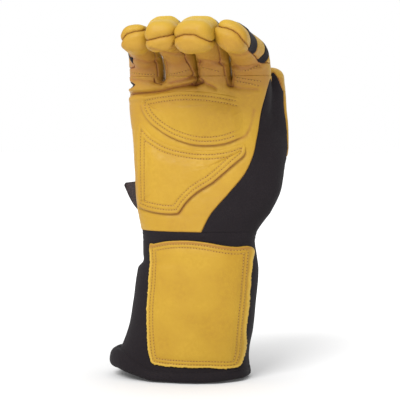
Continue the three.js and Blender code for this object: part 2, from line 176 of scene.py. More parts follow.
# The radial edge of the palm leather, and where palm and back meet: sideways and height
PALM_EDGE = [(14.5, 98), (17.4, 105), (24, 118), (35.5, 131.5), (46.4, 145), (52, 157.5),
             (54.4, 169.6), (57, 186), (60.6, 199), (64, 212), (66, 222)]
HAND_SPLIT = [(8, 90), (8, 172), (5, 190), (0, 201), (-6, 214)]
THUMB_FRONT_AREA = [(4, 80), (4, 120), (44, 170), (52, 190), (56, 202), (59.6, 209.5),
                    (62.6, 214.8), (65.0, 213), (67.2, 209), (69.6, 202), (72.5, 194),
                    (80, 188), (90, 164), (90, 80)]
THUMB_BACK_AREA = [(48, 240), (90, 240), (90, 157), (66, 156), (55, 164), (50, 186)]
THUMB_WRAP_HEIGHT = 194.0

# Outlines of the sewn pads and patches, in x and height
UPPER_PAD = [(-22, 198.5), (2.7, 201.6), (27, 200.2), (51, 194.2), (51.5, 184),
             (47.5, 172.2), (41, 168.6), (32, 165.6), (20.5, 164.4), (9.5, 165.4),
             (-3, 169.4), (-13, 175), (-21.8, 182.6), (-26, 190.5), (-25.4, 195.6)]
LOWER_PAD = [(-29.6, 177.4), (-19.6, 171.6), (-8, 165.4), (6.4, 162), (20.4, 161),
             (34.3, 162.6), (45.6, 166), (46.4, 158.6), (39, 151.6), (25.5, 139.8),
             (13.6, 132), (5.9, 124.6), (1.8, 118.6), (-1, 117.4), (-11.8, 117.6),
             (-27, 121), (-30, 128)]
KNUCKLE_GUARD = [(-31, 180), (-33, 189), (-27, 199), (-12, 202), (12, 203), (32, 202),
                 (43, 198), (45, 188), (41, 178), (30, 173), (10, 170), (-12, 173)]
CUFF_PATCH = [(-19.6, 95.2), (-16, 96.4), (-6, 98.6), (8, 99.4), (22, 98.2), (33, 96.2),
              (41, 95.2), (47.6, 95.4),
              (50.6, 92.5), (50.6, 86), (50.2, 78), (49.2, 62), (47.4, 42), (45.8, 24), (44, 16),
              (40.5, 12), (24, 12.6), (4, 13), (-13, 14), (-17.2, 18), (-19.8, 33),
              (-20.6, 52), (-19.4, 70), (-19.2, 82)]
PULL_TAB = [(-44.5, 135.5), (-43.6, 137.4), (-34, 138.6), (-34, 117.6), (-35.8, 119.4)]

# Folds seen from the front: a line in x and height, depth and half width
FOLDS = [
    ([(-38, 199.6), (-32.7, 200.0), (-20.4, 200.5), (-7.4, 202.7), (7.1, 205.3),
      (17.5, 207.6)], 2.4, 1.5),
    ([(-31.0, 209.6), (-22.0, 208.6), (-16.0, 208.4)], 0.6, 0.9),
    ([(-28.0, 223.4), (-18.1, 220.8), (-12.5, 222.6)], 0.8, 1.0),
    ([(-5.6, 227.6), (3.8, 225.4), (8.1, 227.0), (10.9, 231.4)], 0.8, 0.8),
    ([(-3.9, 207.5), (3.6, 209.1), (11.5, 211.8)], 1.2, 1.1),
    ([(15.6, 221.6), (22.7, 221.0), (34.4, 219.6)], 0.9, 1.0),
    ([(15.4, 211.7), (21.0, 206.9), (27.5, 203.5)], 1.2, 1.3),
    ([(39.6, 218.4), (48.1, 216.6), (58.5, 218.0)], 1.0, 1.0),
    ([(44.0, 224.6), (50.0, 224.0), (56.5, 226.6)], 0.6, 0.8),
    ([(36.0, 206.0), (44.0, 203.5), (56.0, 202.5)], 0.9, 1.4),
]
FOLD_BULGES = [([(-36, 204.6), (-18, 205.2), (-4, 207.2), (8, 209.8)], 1.3, 3.0)]

# Stitch rows on the fingers' bases, in x and height
FINGER_ROWS = [
    [(-33.5, 214.6), (-28, 213.8), (-21.7, 213.1), (-14.6, 213.1)],
    [(-6.0, 212.6), (0.0, 213.2), (3.6, 213.8), (10.4, 215.8)],
    [(16.5, 217.7), (23.3, 216.3), (31.0, 214.3)],
    [(40.5, 210.8), (50.2, 209.1), (58.0, 207.9)],
    [(40.8, 208.2), (49.5, 206.5), (57.4, 204.6)],
    [(47.0, 214.6), (52.0, 215.4), (58.6, 218.4)],
]


# Small numeric tools

def smoothstep(value, low, high):
    share = np.clip((value - low) / (high - low), 0.0, 1.0)
    return share * share * (3.0 - 2.0 * share)


def smooth_min(first, second, reach):
    share = np.clip(0.5 + 0.5 * (second - first) / reach, 0.0, 1.0)
    return second + (first - second) * share - reach * share * (1.0 - share)


def smooth_max(first, second, reach):
    return -smooth_min(-first, -second, reach)


def hermite(share, start, end, leave, arrive):
    """Between two values along a smooth curve that leaves and arrives at given slopes."""
    square = share * share
    cube = square * share
    return ((2 * cube - 3 * square + 1) * start + (cube - 2 * square + share) * leave
            + (3 * square - 2 * cube) * end + (cube - square) * arrive)


def smooth_column(places, values, where):
    """A smooth curve through the rows of a table, read at many places."""
    slopes = np.gradient(values, places)
    row = np.clip(np.searchsorted(places, where) - 1, 0, len(places) - 2)
    span = places[row + 1] - places[row]
    share = np.clip((where - places[row]) / span, 0.0, 1.0)
    return hermite(share, values[row], values[row + 1],
                   span * slopes[row], span * slopes[row + 1])


def unit(vectors):
    length = np.linalg.norm(vectors, axis=-1, keepdims=True)
    return vectors / np.maximum(length, 1e-9)


def spline(points, count, closed=False):
    """Points along a Catmull-Rom curve through a few points."""
    given = np.array(points, float)
    if closed:
        padded = np.vstack([given[-1], given, given[:2]])
    else:
        padded = np.vstack([2 * given[0] - given[1], given, 2 * given[-1] - given[-2]])
    share = (np.arange(count) / count)[:, None]
    parts = []
    for before, start, end, after in zip(padded, padded[1:], padded[2:], padded[3:]):
        parts.append(0.5 * (2 * start + (end - before) * share
                            + (2 * before - 5 * start + 4 * end - after) * share**2
                            + (3 * start - before - 3 * end + after) * share**3))
    if not closed:
        parts.append(given[-1:])
    return np.vstack(parts)


def running_length(line):
    """The length of a line up to each of its points."""
    return np.concatenate([[0], np.cumsum(np.linalg.norm(np.diff(line, axis=0), axis=1))])


def even_points(line, step):
    """Places at even steps along a flat line, and the points there."""
    length = running_length(line)
    places = np.arange(0, length[-1], step)
    points = [np.interp(places, length, line[:, i]) for i in range(2)]
    return places, np.stack(points, axis=1)


def line_distance(line, sideways, height):
    """Distance to an open line, and on which side: positive to the right of its run."""
    line = np.asarray(line, float)
    best = np.full(sideways.shape, np.inf)
    side = np.ones(sideways.shape)
    for start, end in zip(line, line[1:]):
        run = end - start
        share = ((sideways - start[0]) * run[0] + (height - start[1]) * run[1]) / (run @ run)
        share = np.clip(share, 0.0, 1.0)
        off_x = sideways - start[0] - run[0] * share
        off_z = height - start[1] - run[1] * share
        distance = np.hypot(off_x, off_z)
        nearer = distance < best
        best = np.where(nearer, distance, best)
        side = np.where(nearer, np.sign(run[1] * off_x - run[0] * off_z), side)
    return best, side


def outline_depth(outline, sideways, height):
    """How deep inside a closed outline a place lies; negative outside."""
    outline = np.asarray(outline, float)
    closed = np.vstack([outline, outline[:1]])
    distance, _ = line_distance(closed, sideways, height)
    inside = np.zeros(sideways.shape, bool)
    for (x1, z1), (x2, z2) in zip(closed, closed[1:]):
        crosses = (z1 > height) != (z2 > height)
        with np.errstate(divide="ignore", invalid="ignore"):
            at = x1 + (height - z1) * (x2 - x1) / (z2 - z1)
        inside ^= crosses & (sideways < at)
    return np.where(inside, distance, -distance)


# The form of the hand as a field, negative inside

def palm_field(points):
    sections = HAND_SECTIONS
    x, y, z = points.T
    ulnar, radial, palm, back, cup = (
        smooth_column(sections[:, 0], sections[:, i], z) for i in range(1, 6))
    half = (radial - ulnar) / 2
    across = (x - (radial + ulnar) / 2) / half
    hollow = np.cos(np.pi / 2 * np.clip(across, -1, 1)) ** 2
    middle = (palm + back) / 2
    front_y = y - np.where(y < middle, cup * hollow, 0.0)
    zero = np.where(back < 1.0, middle, 0.0)
    depth = np.where(front_y > zero, back - zero, zero - palm)
    deep = np.abs(front_y - zero) / depth
    wide = np.abs(across)
    total = (wide**OVAL_POWER + deep**OVAL_POWER) ** (1 / OVAL_POWER)
    safe = np.maximum(total, TINY)
    slope = np.hypot((wide / safe) ** (OVAL_POWER - 1) / half,
                     (deep / safe) ** (OVAL_POWER - 1) / depth)
    sides = (total - 1) / np.maximum(slope, LEAST_PALM_SLOPE)
    return smooth_max(sides, z - WEB_HEIGHT, WEB_ROUNDING)


def centre_line(digit):
    """Stations along a digit: place, centre, direction and half sizes."""
    table = np.array(digit["joints"], float)
    joints = table[:, :3]
    points = np.vstack([2 * joints[0] - joints[1], joints, 2 * joints[-1] - joints[-2]])
    share = (np.arange(CURVE_STEPS) / CURVE_STEPS)[:, None]
    parts = []
    for before, start, end, after in zip(points, points[1:], points[2:], points[3:]):
        first, gap, last = (math.sqrt(np.linalg.norm(pair)) for pair in
                            (start - before, end - start, after - end))
        leave = (start - before) / first - (end - before) / (first + gap) + (end - start) / gap
        arrive = (end - start) / gap - (after - start) / (gap + last) + (after - end) / last
        parts.append(hermite(share, start, end, leave * gap, arrive * gap))
    centres = np.vstack(parts + [joints[-1:]])
    places = np.arange(len(centres)) / CURVE_STEPS
    along = unit(np.gradient(centres, axis=0))
    sizes = [np.interp(places, range(len(table)), table[:, i]) for i in (3, 4)]
    return places, centres, along, sizes


def digit_coordinates(digit, points):
    """Place along a digit, offsets across, towards the back and beyond, and half sizes."""
    places, centres, along, sizes = digit["line"]
    best = np.full(len(points), np.inf)
    place = np.zeros(len(points))
    for i in range(len(centres) - 1):
        run = centres[i + 1] - centres[i]
        share = np.clip((points - centres[i]) @ run / (run @ run), 0.0, 1.0)
        square = ((points - centres[i] - share[:, None] * run) ** 2).sum(axis=1)
        nearer = square < best
        best = np.where(nearer, square, best)
        place = np.where(nearer, places[i] + share / CURVE_STEPS, place)
    centre = np.stack([np.interp(place, places, centres[:, i]) for i in range(3)], axis=1)
    tangent = unit(np.stack([np.interp(place, places, along[:, i]) for i in range(3)], axis=1))
    side = np.array([1.0, 0.0, 0.0]) - tangent * tangent[:, :1]
    side = unit(side)
    dorsal = np.cross(tangent, side)
    offset = points - centre
    width, depth = (np.interp(place, places, size) for size in sizes)
    return (place, (offset * side).sum(axis=1), (offset * dorsal).sum(axis=1),
            (offset * tangent).sum(axis=1), width, depth)


def digit_field(digit, points):
    place, across, dorsal, beyond, width, depth = digit_coordinates(digit, points)
    cap = np.where(place > END_PLACE, beyond / (CAP_SHARE * depth), 0.0)
    root = np.where(place < ROOT_PLACE, beyond / depth, 0.0)
    ends = cap + root
    lean = math.radians(digit["lean"]) * smoothstep(place, *LEAN_PLACES)
    wide = across * np.cos(lean) - dorsal * np.sin(lean)
    deep = dorsal * np.cos(lean) + across * np.sin(lean)
    narrow = smoothstep(place, *TAPER_STARTS) * (1 - smoothstep(place, *TAPER_ENDS))
    width = width * (1 - FRONT_TAPER * narrow * np.clip(-deep / depth, 0, 1))
    power = DIGIT_POWER + digit["square"] * smoothstep(place, *SQUARE_PLACES)
    terms = (np.abs(wide / width), np.abs(deep / depth), np.abs(ends))
    total = sum(term**power for term in terms) ** (1 / power)
    safe = np.maximum(total, TINY)
    slope = np.sqrt(sum(((term / safe) ** (power - 1) / size) ** 2
                        for term, size in zip(terms, (width, depth, depth))))
    return (total - 1) / np.maximum(slope, LEAST_DIGIT_SLOPE)


def hand_field(points):
    value = palm_field(points)
    height = points[:, 2]
    parting = smoothstep(height, *THUMB_PARTS)
    thumb_blend = THUMB_BLEND + (THUMB_TIP_BLEND - THUMB_BLEND) * parting
    value = smooth_min(value, digit_field(THUMB, points), thumb_blend)
    high = height > FINGERS_FROM
    fingers = np.full(len(points), FAR)
    for digit in DIGITS.values():
        fingers[high] = np.minimum(fingers[high], digit_field(digit, points[high]))
    return smooth_min(value, fingers, WEB_BLEND)


def finger_field(digit, points):
    return smooth_min(palm_field(points), digit_field(digit, points), WEB_BLEND)


# Skins: a table with a row for each vertex, its place, normal and shade, and triangles

def sample_field(field, low, high, step):
    axes = [np.arange(a, b + step, step) for a, b in zip(low, high)]
    grid = np.stack(np.meshgrid(*axes, indexing="ij"), axis=-1)
    return field(grid.reshape(-1, 3)).reshape(grid.shape[:3])


def surface_net(values, low, step):
    """One vertex for each cell that the surface runs through, one quad for each crossing."""
    shape = values.shape
    strides = np.array([shape[1] * shape[2], shape[2], 1])
    sums = np.zeros((values.size, 3))
    counts = np.zeros(values.size)
    quads = []
    for axis in range(3):
        others = [(axis + 1) % 3, (axis + 2) % 3]
        span = [slice(1, -1)] * 3
        span[axis] = slice(0, -1)
        after = list(span)
        after[axis] = slice(1, None)
        first = values[tuple(span)]
        second = values[tuple(after)]
        found = np.argwhere((first < 0) != (second < 0))
        here = tuple(found.T)
        start, end = first[here], second[here]
        corner = found + np.array([part.start for part in span])
        crossing = corner.astype(float)
        crossing[:, axis] += start / (start - end)
        base = corner @ strides
        steps = [0, strides[others[0]], strides[others[0]] + strides[others[1]],
                 strides[others[1]]]
        cells = np.stack([base - back for back in steps], axis=1)
        for column in range(4):
            for i in range(3):
                sums[:, i] += np.bincount(cells[:, column], crossing[:, i], values.size)
            counts += np.bincount(cells[:, column], minlength=values.size)
        flip = start < 0
        cells[flip] = cells[flip][:, ::-1]
        quads.append(cells)
    quads = np.vstack(quads)
    used = np.nonzero(counts)[0]
    number = np.full(values.size, -1)
    number[used] = np.arange(len(used))
    points = sums[used] / counts[used, None] * step + np.array(low)
    quads = number[quads][:, ::-1]
    triangles = np.vstack([quads[:, [0, 1, 2]], quads[:, [0, 2, 3]]])
    return points, triangles


def slope_of(field, points):
    here = field(points)
    ahead = [field(points + CHECK_STEP * np.eye(3)[i]) - here for i in range(3)]
    return here, np.stack(ahead, axis=1) / CHECK_STEP


def make_skin(field, low, high):
    """The surface where a field is zero, its vertices moved onto it in two rounds."""
    values = sample_field(field, low, high, SKIN_STEP)
    points, faces = surface_net(values, low, SKIN_STEP)
    for _ in range(2):
        here, slope = slope_of(field, points)
        square = np.maximum((slope**2).sum(axis=1), LEAST_SQUARE_SLOPE)
        move = slope * (here / square)[:, None]
        size = np.linalg.norm(move, axis=1, keepdims=True)
        points = points - move * np.minimum(1.0, 0.5 * SKIN_STEP / np.maximum(size, 1e-9))
    return points, faces


def face_normals(points, faces):
    corners = points[faces]
    return np.cross(corners[:, 1] - corners[:, 0], corners[:, 2] - corners[:, 0])


def point_normals(points, faces):
    normals = np.zeros_like(points)
    turned = face_normals(points, faces)
    for column in range(3):
        np.add.at(normals, faces[:, column], turned)
    return unit(normals)


def compact(table, faces):
    used = np.unique(faces)
    number = np.full(len(table), -1)
    number[used] = np.arange(len(used))
    return table[used], number[faces]


SNAP_SHARE = 0.2  # a cut this near a vertex moves the vertex instead


def cut(table, faces, values):
    """Splits the triangles where the values change sign; the table's rows are blended."""
    table = table.copy()
    values = values.copy()
    count = len(table)
    pairs = np.sort(faces[:, [[0, 1], [1, 2], [2, 0]]].reshape(-1, 2), axis=1)
    pairs = np.unique(pairs[:, 0] * count + pairs[:, 1])
    first, second = pairs // count, pairs % count
    apart = values[first] * values[second] < 0
    first, second = first[apart], second[apart]
    share = values[first] / (values[first] - values[second])
    for near, far, part in ((first, second, share), (second, first, 1 - share)):
        close = part < SNAP_SHARE
        table[near[close]] += (table[far[close]] - table[near[close]]) * part[close, None]
        values[near[close]] = 0.0
    apart = values[first] * values[second] < 0
    first, second = first[apart], second[apart]
    share = values[first] / (values[first] - values[second])
    keys = first * count + second
    middles = table[first] + (table[second] - table[first]) * share[:, None]
    all_table = np.vstack([table, middles])
    all_values = np.concatenate([values, np.zeros(len(middles))])

    def middle(one, other):
        key = np.minimum(one, other) * count + np.maximum(one, other)
        if not len(keys):
            return np.full(len(key), -1)
        at = np.clip(np.searchsorted(keys, key), 0, len(keys) - 1)
        return np.where(keys[at] == key, at + count, -1)

    middle_of = np.stack([middle(faces[:, i], faces[:, (i + 1) % 3]) for i in range(3)], axis=1)
    crossed = (middle_of >= 0).sum(axis=1)
    result = [faces[crossed == 0]]
    for number in (1, 2):
        rows = np.nonzero(crossed == number)[0]
        marks = (middle_of[rows] >= 0) == (number == 1)
        turn = (np.argmax(marks, axis=1) - 1) % 3
        index = (turn[:, None] + np.arange(3)) % 3
        a, b, c = np.take_along_axis(faces[rows], index, axis=1).T
        ab, bc, ca = np.take_along_axis(middle_of[rows], index, axis=1).T
        one_cut = [(a, b, bc), (a, bc, c)]
        two_cuts = [(a, ab, ca), (ab, b, c), (ab, c, ca)]
        pieces = one_cut if number == 1 else two_cuts
        result.extend(np.stack(piece, axis=1) for piece in pieces)
    return all_table, np.vstack(result), all_values


def split(skin, values):
    """The parts of a skin where the values are below and above zero."""
    table, faces, values = cut(skin[0], skin[1], values)
    sums = values[faces].sum(axis=1)
    return compact(table, faces[sums < 0]), compact(table, faces[sums >= 0])


def keep(skin, values):
    return split(skin, values)[0]


MOST_ROUNDS = 400


def drop_specks(skin, least):
    """Leaves out loose bits with only a few triangles."""
    table, faces = skin
    label = np.arange(len(table))
    for _ in range(MOST_ROUNDS):
        lowest = label[faces].min(axis=1)
        new = label.copy()
        for column in range(3):
            np.minimum.at(new, faces[:, column], lowest)
        new = new[new]
        if (new == label).all():
            break
        label = new
    sizes = np.bincount(label[faces[:, 0]], minlength=len(table))
    return compact(table, faces[sizes[label[faces[:, 0]]] >= least])


def open_edges(faces):
    """Directed edges that only one triangle has."""
    edges = faces[:, [[0, 1], [1, 2], [2, 0]]].reshape(-1, 2)
    size = edges.max() + 1
    keys = edges[:, 0] * size + edges[:, 1]
    back = edges[:, 1] * size + edges[:, 0]
    return edges[~np.isin(keys, back)]


def rim_distance(table, faces):
    """Distance of each vertex from the skin's sewn edges, not those at the finger bases."""
    edges = open_edges(faces)
    ends = table[edges][:, :, :3]
    sewn = (np.abs(ends[:, :, 2] - FINGER_START) > 1.5 * SKIRT).any(axis=1)
    edges, ends = edges[sewn], ends[sewn]
    spots = np.vstack([ends[:, 0], ends.mean(axis=1)])
    tree = KDTree(len(spots))
    for i, spot in enumerate(spots):
        tree.insert(spot, i)
    tree.balance()
    distance = np.array([tree.find(point)[2] for point in table[:, :3]])
    distance[np.unique(edges)] = 0.0
    return distance


def merge_skins(skins):
    tables, faces, total = [], [], 0
    for table, triangles in skins:
        tables.append(table)
        faces.append(triangles + total)
        total += len(table)
    return np.vstack(tables), np.vstack(faces)


def thicken(table, faces, lift, depth):
    """A closed shell: the skin lifted, a copy sunk to a depth, and walls between."""
    points, normals = table[:, :3], unit(table[:, 3:6])
    outer = points + normals * lift[:, None]
    inner = points - normals * depth
    count = len(points)
    edges = open_edges(faces)
    walls = np.vstack([
        np.stack([edges[:, 1], edges[:, 0], edges[:, 0] + count], axis=1),
        np.stack([edges[:, 1], edges[:, 0] + count, edges[:, 1] + count], axis=1),
    ])
    return np.vstack([outer, inner]), np.vstack([faces, faces[:, ::-1] + count, walls])


# Materials

def new_material(name, **settings):
    """A material, its nodes and its shader, with the shader's constants set by name."""
    material = bpy.data.materials.new(name)
    material.use_nodes = True
    shader = material.node_tree.nodes["Principled BSDF"]
    for key, value in settings.items():
        shader.inputs[key.replace("_", " ")].default_value = value
    return material, material.node_tree, shader


def add_node(tree, kind, **values):
    node = tree.nodes.new(kind)
    for key, value in values.items():
        if key in node.inputs:
            node.inputs[key].default_value = value
        else:
            setattr(node, key, value)
    return node


def colour_mix(tree, share, first, second):
    """Blends two colours or links by a share."""
    node = tree.nodes.new("ShaderNodeMix")
    node.data_type = "RGBA"
    tree.links.new(share, node.inputs["Factor"])
    for number, value in ((6, first), (7, second)):
        if isinstance(value, tuple):
            node.inputs[number].default_value = (*value, 1.0)
        else:
            tree.links.new(value, node.inputs[number])
    return node.outputs[2]


def ramp(tree, value, low, high):
    node = tree.nodes.new("ShaderNodeMapRange")
    node.inputs["From Min"].default_value = low
    node.inputs["From Max"].default_value = high
    node.interpolation_type = "SMOOTHSTEP"
    tree.links.new(value, node.inputs["Value"])
    return node.outputs["Result"]


def texture(tree, kind, place, scale, **values):
    node = add_node(tree, kind, Scale=scale, **values)
    tree.links.new(place, node.inputs["Vector"])
    return node


def bump(tree, height, distance, strength, before=None):
    node = add_node(tree, "ShaderNodeBump", Distance=distance, Strength=strength)
    tree.links.new(height, node.inputs["Height"])
    if before is not None:
        tree.links.new(before, node.inputs["Normal"])
    return node.outputs["Normal"]


GOLD = (0.43, 0.250, 0.021)
GOLD_LIGHT = (0.465, 0.278, 0.025)
GOLD_DEEP = (0.395, 0.218, 0.019)
# The next colour is painted light on the tops of the fingertips
GOLD_TIP_LIGHT = (0.53, 0.350, 0.030)
# The next colour is painted shade, used wherever the shade attribute browns the leather
PAINTED_SHADE_BROWN = (0.24, 0.070, 0.036)
SUEDE_YELLOW = (0.56, 0.36, 0.050)
THREAD_GOLD = (0.46, 0.285, 0.032)
# The next colour is the painted shadow inside the stitch holes
HOLE_SHADOW_BROWN = (0.09, 0.038, 0.012)
KNIT_BLACK = (0.0130, 0.0102, 0.0120)
KNIT_GREY = (0.0187, 0.0150, 0.0172)
TAB_BROWN = (0.042, 0.026, 0.026)

# Between these heights, in metres, the leather is painted lighter: painted light on the tops of
# the curled tips, where the light from above falls
TIP_LIGHT_HEIGHTS = (0.235, 0.250)
LEATHER_GLOSS = 0.22
ROUGH_RANGE = (-0.9, 1.9)  # the mottle values that would be quite smooth and fully rough

# Features for each metre of the noise and cell textures, and the part of each that shows
CLOUD_SCALE = 38.0
CLOUD_RANGE = (0.35, 0.68)
MOTTLE_SCALE = 420.0
MOTTLE_RANGE = (0.30, 0.75)
PEBBLE_SCALE = 700.0
GRAIN_SCALE = 1250.0

# Depth in metres and strength of each bump
CLOUD_BUMP = (0.0012, 0.35)
PEBBLE_BUMP = (0.0004, 0.30)
GRAIN_BUMP = (0.0002, 0.25)


def leather_material():
    material, tree, shader = new_material("golden_leather",
                                          Specular_IOR_Level=LEATHER_GLOSS)
    place = tree.nodes.new("ShaderNodeTexCoord").outputs["Object"]
    cloud = texture(tree, "ShaderNodeTexNoise", place, CLOUD_SCALE, Detail=3.0)
    mottle = texture(tree, "ShaderNodeTexNoise", place, MOTTLE_SCALE, Detail=4.0)
    grain = texture(tree, "ShaderNodeTexVoronoi", place, GRAIN_SCALE)
    pebble = texture(tree, "ShaderNodeTexNoise", place, PEBBLE_SCALE, Detail=5.0)
    cloudy = ramp(tree, cloud.outputs["Fac"], *CLOUD_RANGE)
    mottled = ramp(tree, mottle.outputs["Fac"], *MOTTLE_RANGE)
    colour = colour_mix(tree, cloudy, GOLD_DEEP, GOLD_LIGHT)
    colour = colour_mix(tree, mottled, colour, GOLD)
    # Painted light: the leather turns lighter gold towards the tops of the fingertips
    axes = tree.nodes.new("ShaderNodeSeparateXYZ")
    tree.links.new(place, axes.inputs["Vector"])
    tip_light = ramp(tree, axes.outputs["Z"], *TIP_LIGHT_HEIGHTS)
    colour = colour_mix(tree, tip_light, colour, GOLD_TIP_LIGHT)
    edge = add_node(tree, "ShaderNodeAttribute", attribute_name="edge").outputs["Fac"]
    shade = add_node(tree, "ShaderNodeAttribute", attribute_name="shade").outputs["Fac"]
    colour = colour_mix(tree, edge, colour, SUEDE_YELLOW)
    # Painted shade: the shade attribute browns the leather in folds, seams, grooves and below
    # the fingers and pads
    colour = colour_mix(tree, shade, colour, PAINTED_SHADE_BROWN)
    tree.links.new(colour, shader.inputs["Base Color"])
    rough = ramp(tree, mottle.outputs["Fac"], *ROUGH_RANGE)
    tree.links.new(rough, shader.inputs["Roughness"])
    relief = bump(tree, cloud.outputs["Fac"], *CLOUD_BUMP)
    relief = bump(tree, pebble.outputs["Fac"], *PEBBLE_BUMP, relief)
    relief = bump(tree, grain.outputs["Distance"], *GRAIN_BUMP, relief)
    tree.links.new(relief, shader.inputs["Normal"])
    return material


KNIT_ROUGHNESS = 0.92
KNIT_SHEEN = 0.04
KNIT_GLOSS = 0.12
WEAR_SCALE = 60.0
WEAR_RANGE = (0.3, 0.8)
LOOP_SCALE = 1500.0
LOOP_RANGE = (0.1, 0.7)
LOOP_STRETCH = (1.0, 1.0, 0.6)
LOOP_BUMP = (0.0003, 0.4)
FUZZ_BUMP = (0.0002, 0.3)


def knit_material():
    material, tree, shader = new_material("black_knit", Roughness=KNIT_ROUGHNESS,
                                          Sheen_Weight=KNIT_SHEEN,
                                          Specular_IOR_Level=KNIT_GLOSS)
    place = tree.nodes.new("ShaderNodeTexCoord").outputs["Object"]
    wear = texture(tree, "ShaderNodeTexNoise", place, WEAR_SCALE, Detail=3.0)
    loops = add_node(tree, "ShaderNodeMapping", Scale=LOOP_STRETCH)
    tree.links.new(place, loops.inputs["Vector"])
    weave = texture(tree, "ShaderNodeTexVoronoi", loops.outputs["Vector"], LOOP_SCALE)
    fuzz = texture(tree, "ShaderNodeTexNoise", place, LOOP_SCALE, Detail=3.0)
    woven = ramp(tree, weave.outputs["Distance"], *LOOP_RANGE)
    worn = ramp(tree, wear.outputs["Fac"], *WEAR_RANGE)
    colour = colour_mix(tree, woven, KNIT_GREY, KNIT_BLACK)
    colour = colour_mix(tree, worn, colour, KNIT_BLACK)
    tree.links.new(colour, shader.inputs["Base Color"])
    relief = bump(tree, weave.outputs["Distance"], *LOOP_BUMP)
    relief = bump(tree, fuzz.outputs["Fac"], *FUZZ_BUMP, relief)
    tree.links.new(relief, shader.inputs["Normal"])
    return material


FINE_BUMP = (0.0003, 0.4)
FINE_RANGE = (0.35, 0.65)


def plain_material(name, colour, other, scale, roughness):
    """Two close colours mottled together, with a fine bump."""
    material, tree, shader = new_material(name, Roughness=roughness)
    place = tree.nodes.new("ShaderNodeTexCoord").outputs["Object"]
    mottle = texture(tree, "ShaderNodeTexNoise", place, scale, Detail=3.0)
    mixed = colour_mix(tree, ramp(tree, mottle.outputs["Fac"], *FINE_RANGE), colour, other)
    tree.links.new(mixed, shader.inputs["Base Color"])
    relief = bump(tree, mottle.outputs["Fac"], *FINE_BUMP)
    tree.links.new(relief, shader.inputs["Normal"])
    return material


LEATHER = leather_material()
KNIT = knit_material()
TAPE = plain_material("dark_tape", TAB_BROWN, KNIT_BLACK, 900.0, 0.8)
THREAD = plain_material("gold_thread", THREAD_GOLD, GOLD, 2500.0, 0.6)
# Painted shadow of the stitch holes, in dark brown
HOLE_SHADOW_MATERIAL = plain_material("stitch_hole_shadow", HOLE_SHADOW_BROWN, PAINTED_SHADE_BROWN, 2500.0, 0.9)


# Pieces

def add_object(name, data):
    thing = bpy.data.objects.new(name, data)
    bpy.context.scene.collection.objects.link(thing)
    return thing


SHARP_ANGLE = math.radians(55)


def make_piece(name, points, faces, material, nodes, shade=None, edge=None):
    """A piece of the glove. Shade browns its leather at a vertex, and edge lightens it."""
    mesh = bpy.data.meshes.new(name)
    mesh.from_pydata((points * METRES).tolist(), [], faces.tolist())
    mesh.validate()
    mesh.shade_smooth()
    mesh.set_sharp_from_angle(angle=SHARP_ANGLE)
    for label, values in (("shade", shade), ("edge", edge)):
        if values is not None and len(mesh.vertices) == len(values):
            attribute = mesh.attributes.new(label, "FLOAT", "POINT")
            attribute.data.foreach_set("value", np.clip(values, 0, 1).astype(np.float32))
    mesh.materials.append(material)
    piece = add_object(name, mesh)
    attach(piece, "root")
    if nodes:
        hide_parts(*nodes)
    return piece


RIM_ROUND = 1.15
RIM_RINGS = (0.4, 1.0)  # rows of vertices this far from a sewn edge
RIM_SHADE = 0.34
RIM_SHADE_REACH = (0.1, 0.8)
INSIDE_SHADE = 0.5
LEAST_TRIANGLES = 40


def rounded_rim(distance, drop):
    """How far a rounded edge falls away near the rim."""
    near = np.clip(1 - distance / RIM_ROUND, 0, 1)
    return -drop * (1 - np.sqrt(np.maximum(1 - near**2, 0)))


def add_shell(name, skin, material, node, drop=0.9, lift=0.0, wall=WALL):
    """A panel of the skin as a closed shell with rounded, sunk edges."""
    table, faces = drop_specks(skin, LEAST_TRIANGLES)
    for ring in RIM_RINGS:
        distance = rim_distance(table, faces)
        table, faces, _ = cut(table, faces, distance - ring)
    distance = rim_distance(table, faces)
    raised = lift + rounded_rim(distance, drop)
    points, all_faces = thicken(table, faces, raised, wall)
    near_rim = RIM_SHADE * (1 - smoothstep(distance, *RIM_SHADE_REACH))
    shade = np.clip(table[:, 6] + near_rim, 0, 1)
    shade = np.concatenate([shade, np.full(len(table), INSIDE_SHADE)])
    make_piece(name, points, all_faces, material, [node], shade=shade)
    return points[:len(table)], faces


def soft_noise(points, size, seed):
    """Smooth unevenness from -1 to 1 with lumps of about the given size."""
    place = points / size + seed
    return np.array([noise.noise(Vector(spot)) for spot in place])


# How far painted shade browns the leather at most in each part: below the fingers and at the
# ulnar side, where the fingers bend, in the folds and below the pads; and how much darker the
# lower palm is
PALM_SHADE = 0.13
UNDERSIDE_SHADE = 0.32
HEEL_SHADE = 0.05
FOLD_SHADE = 0.30
PAD_SHADE = 0.55
MOST_SHADE = 0.7

# Heights, and offsets towards the ulnar side, over which the leather is darkened, mostly by
# painted shade
UPPER_PALM = (172, 202)
LOWER_PALM = (150, 172)
FINGER_ROOTS = (198, 212)
ULNAR_SIDE = (24, 36)

# The lips beside a fold: how high, how far out and how wide, against the fold's own sizes
LIP_HEIGHT = 0.35
LIP_PLACE = 2.2
LIP_WIDTH = 1.2

# The pinch below the little finger: height, half width, depth, and where it begins
PINCH_HEIGHT = 205.4
PINCH_WIDTH = 1.7
PINCH_DEPTH = 3.0
PINCH_SIDE = (29, 34)

# How far a normal points to the front or down where the leather counts as facing that way
FACING_FRONT = (0.05, 0.5)
FACING_DOWN = (-0.2, 0.4)

# Where a pad stands on the palm: the slopes of its low side, and the hollow below it
LOW_SIDE = (-0.1, 0.6)
HOLLOW_DEPTH = 0.5
HOLLOW_PLACE = 0.8
HOLLOW_WIDTH = 1.2
SHADE_WIDTH = 0.9

# Unevenness of the leather: height, size and seed
UNEVENNESS = [(0.35, 13.0, 3.0), (0.14, 4.5, 11.0)]


def bell(offset, width):
    """One at the middle, and near zero two widths away."""
    return np.exp(-(offset / width) ** 2)


def ridge(offset, height, place, width):
    """A ridge or groove on both sides of a line, at a distance from it."""
    return height * bell(np.abs(offset) - place, width)


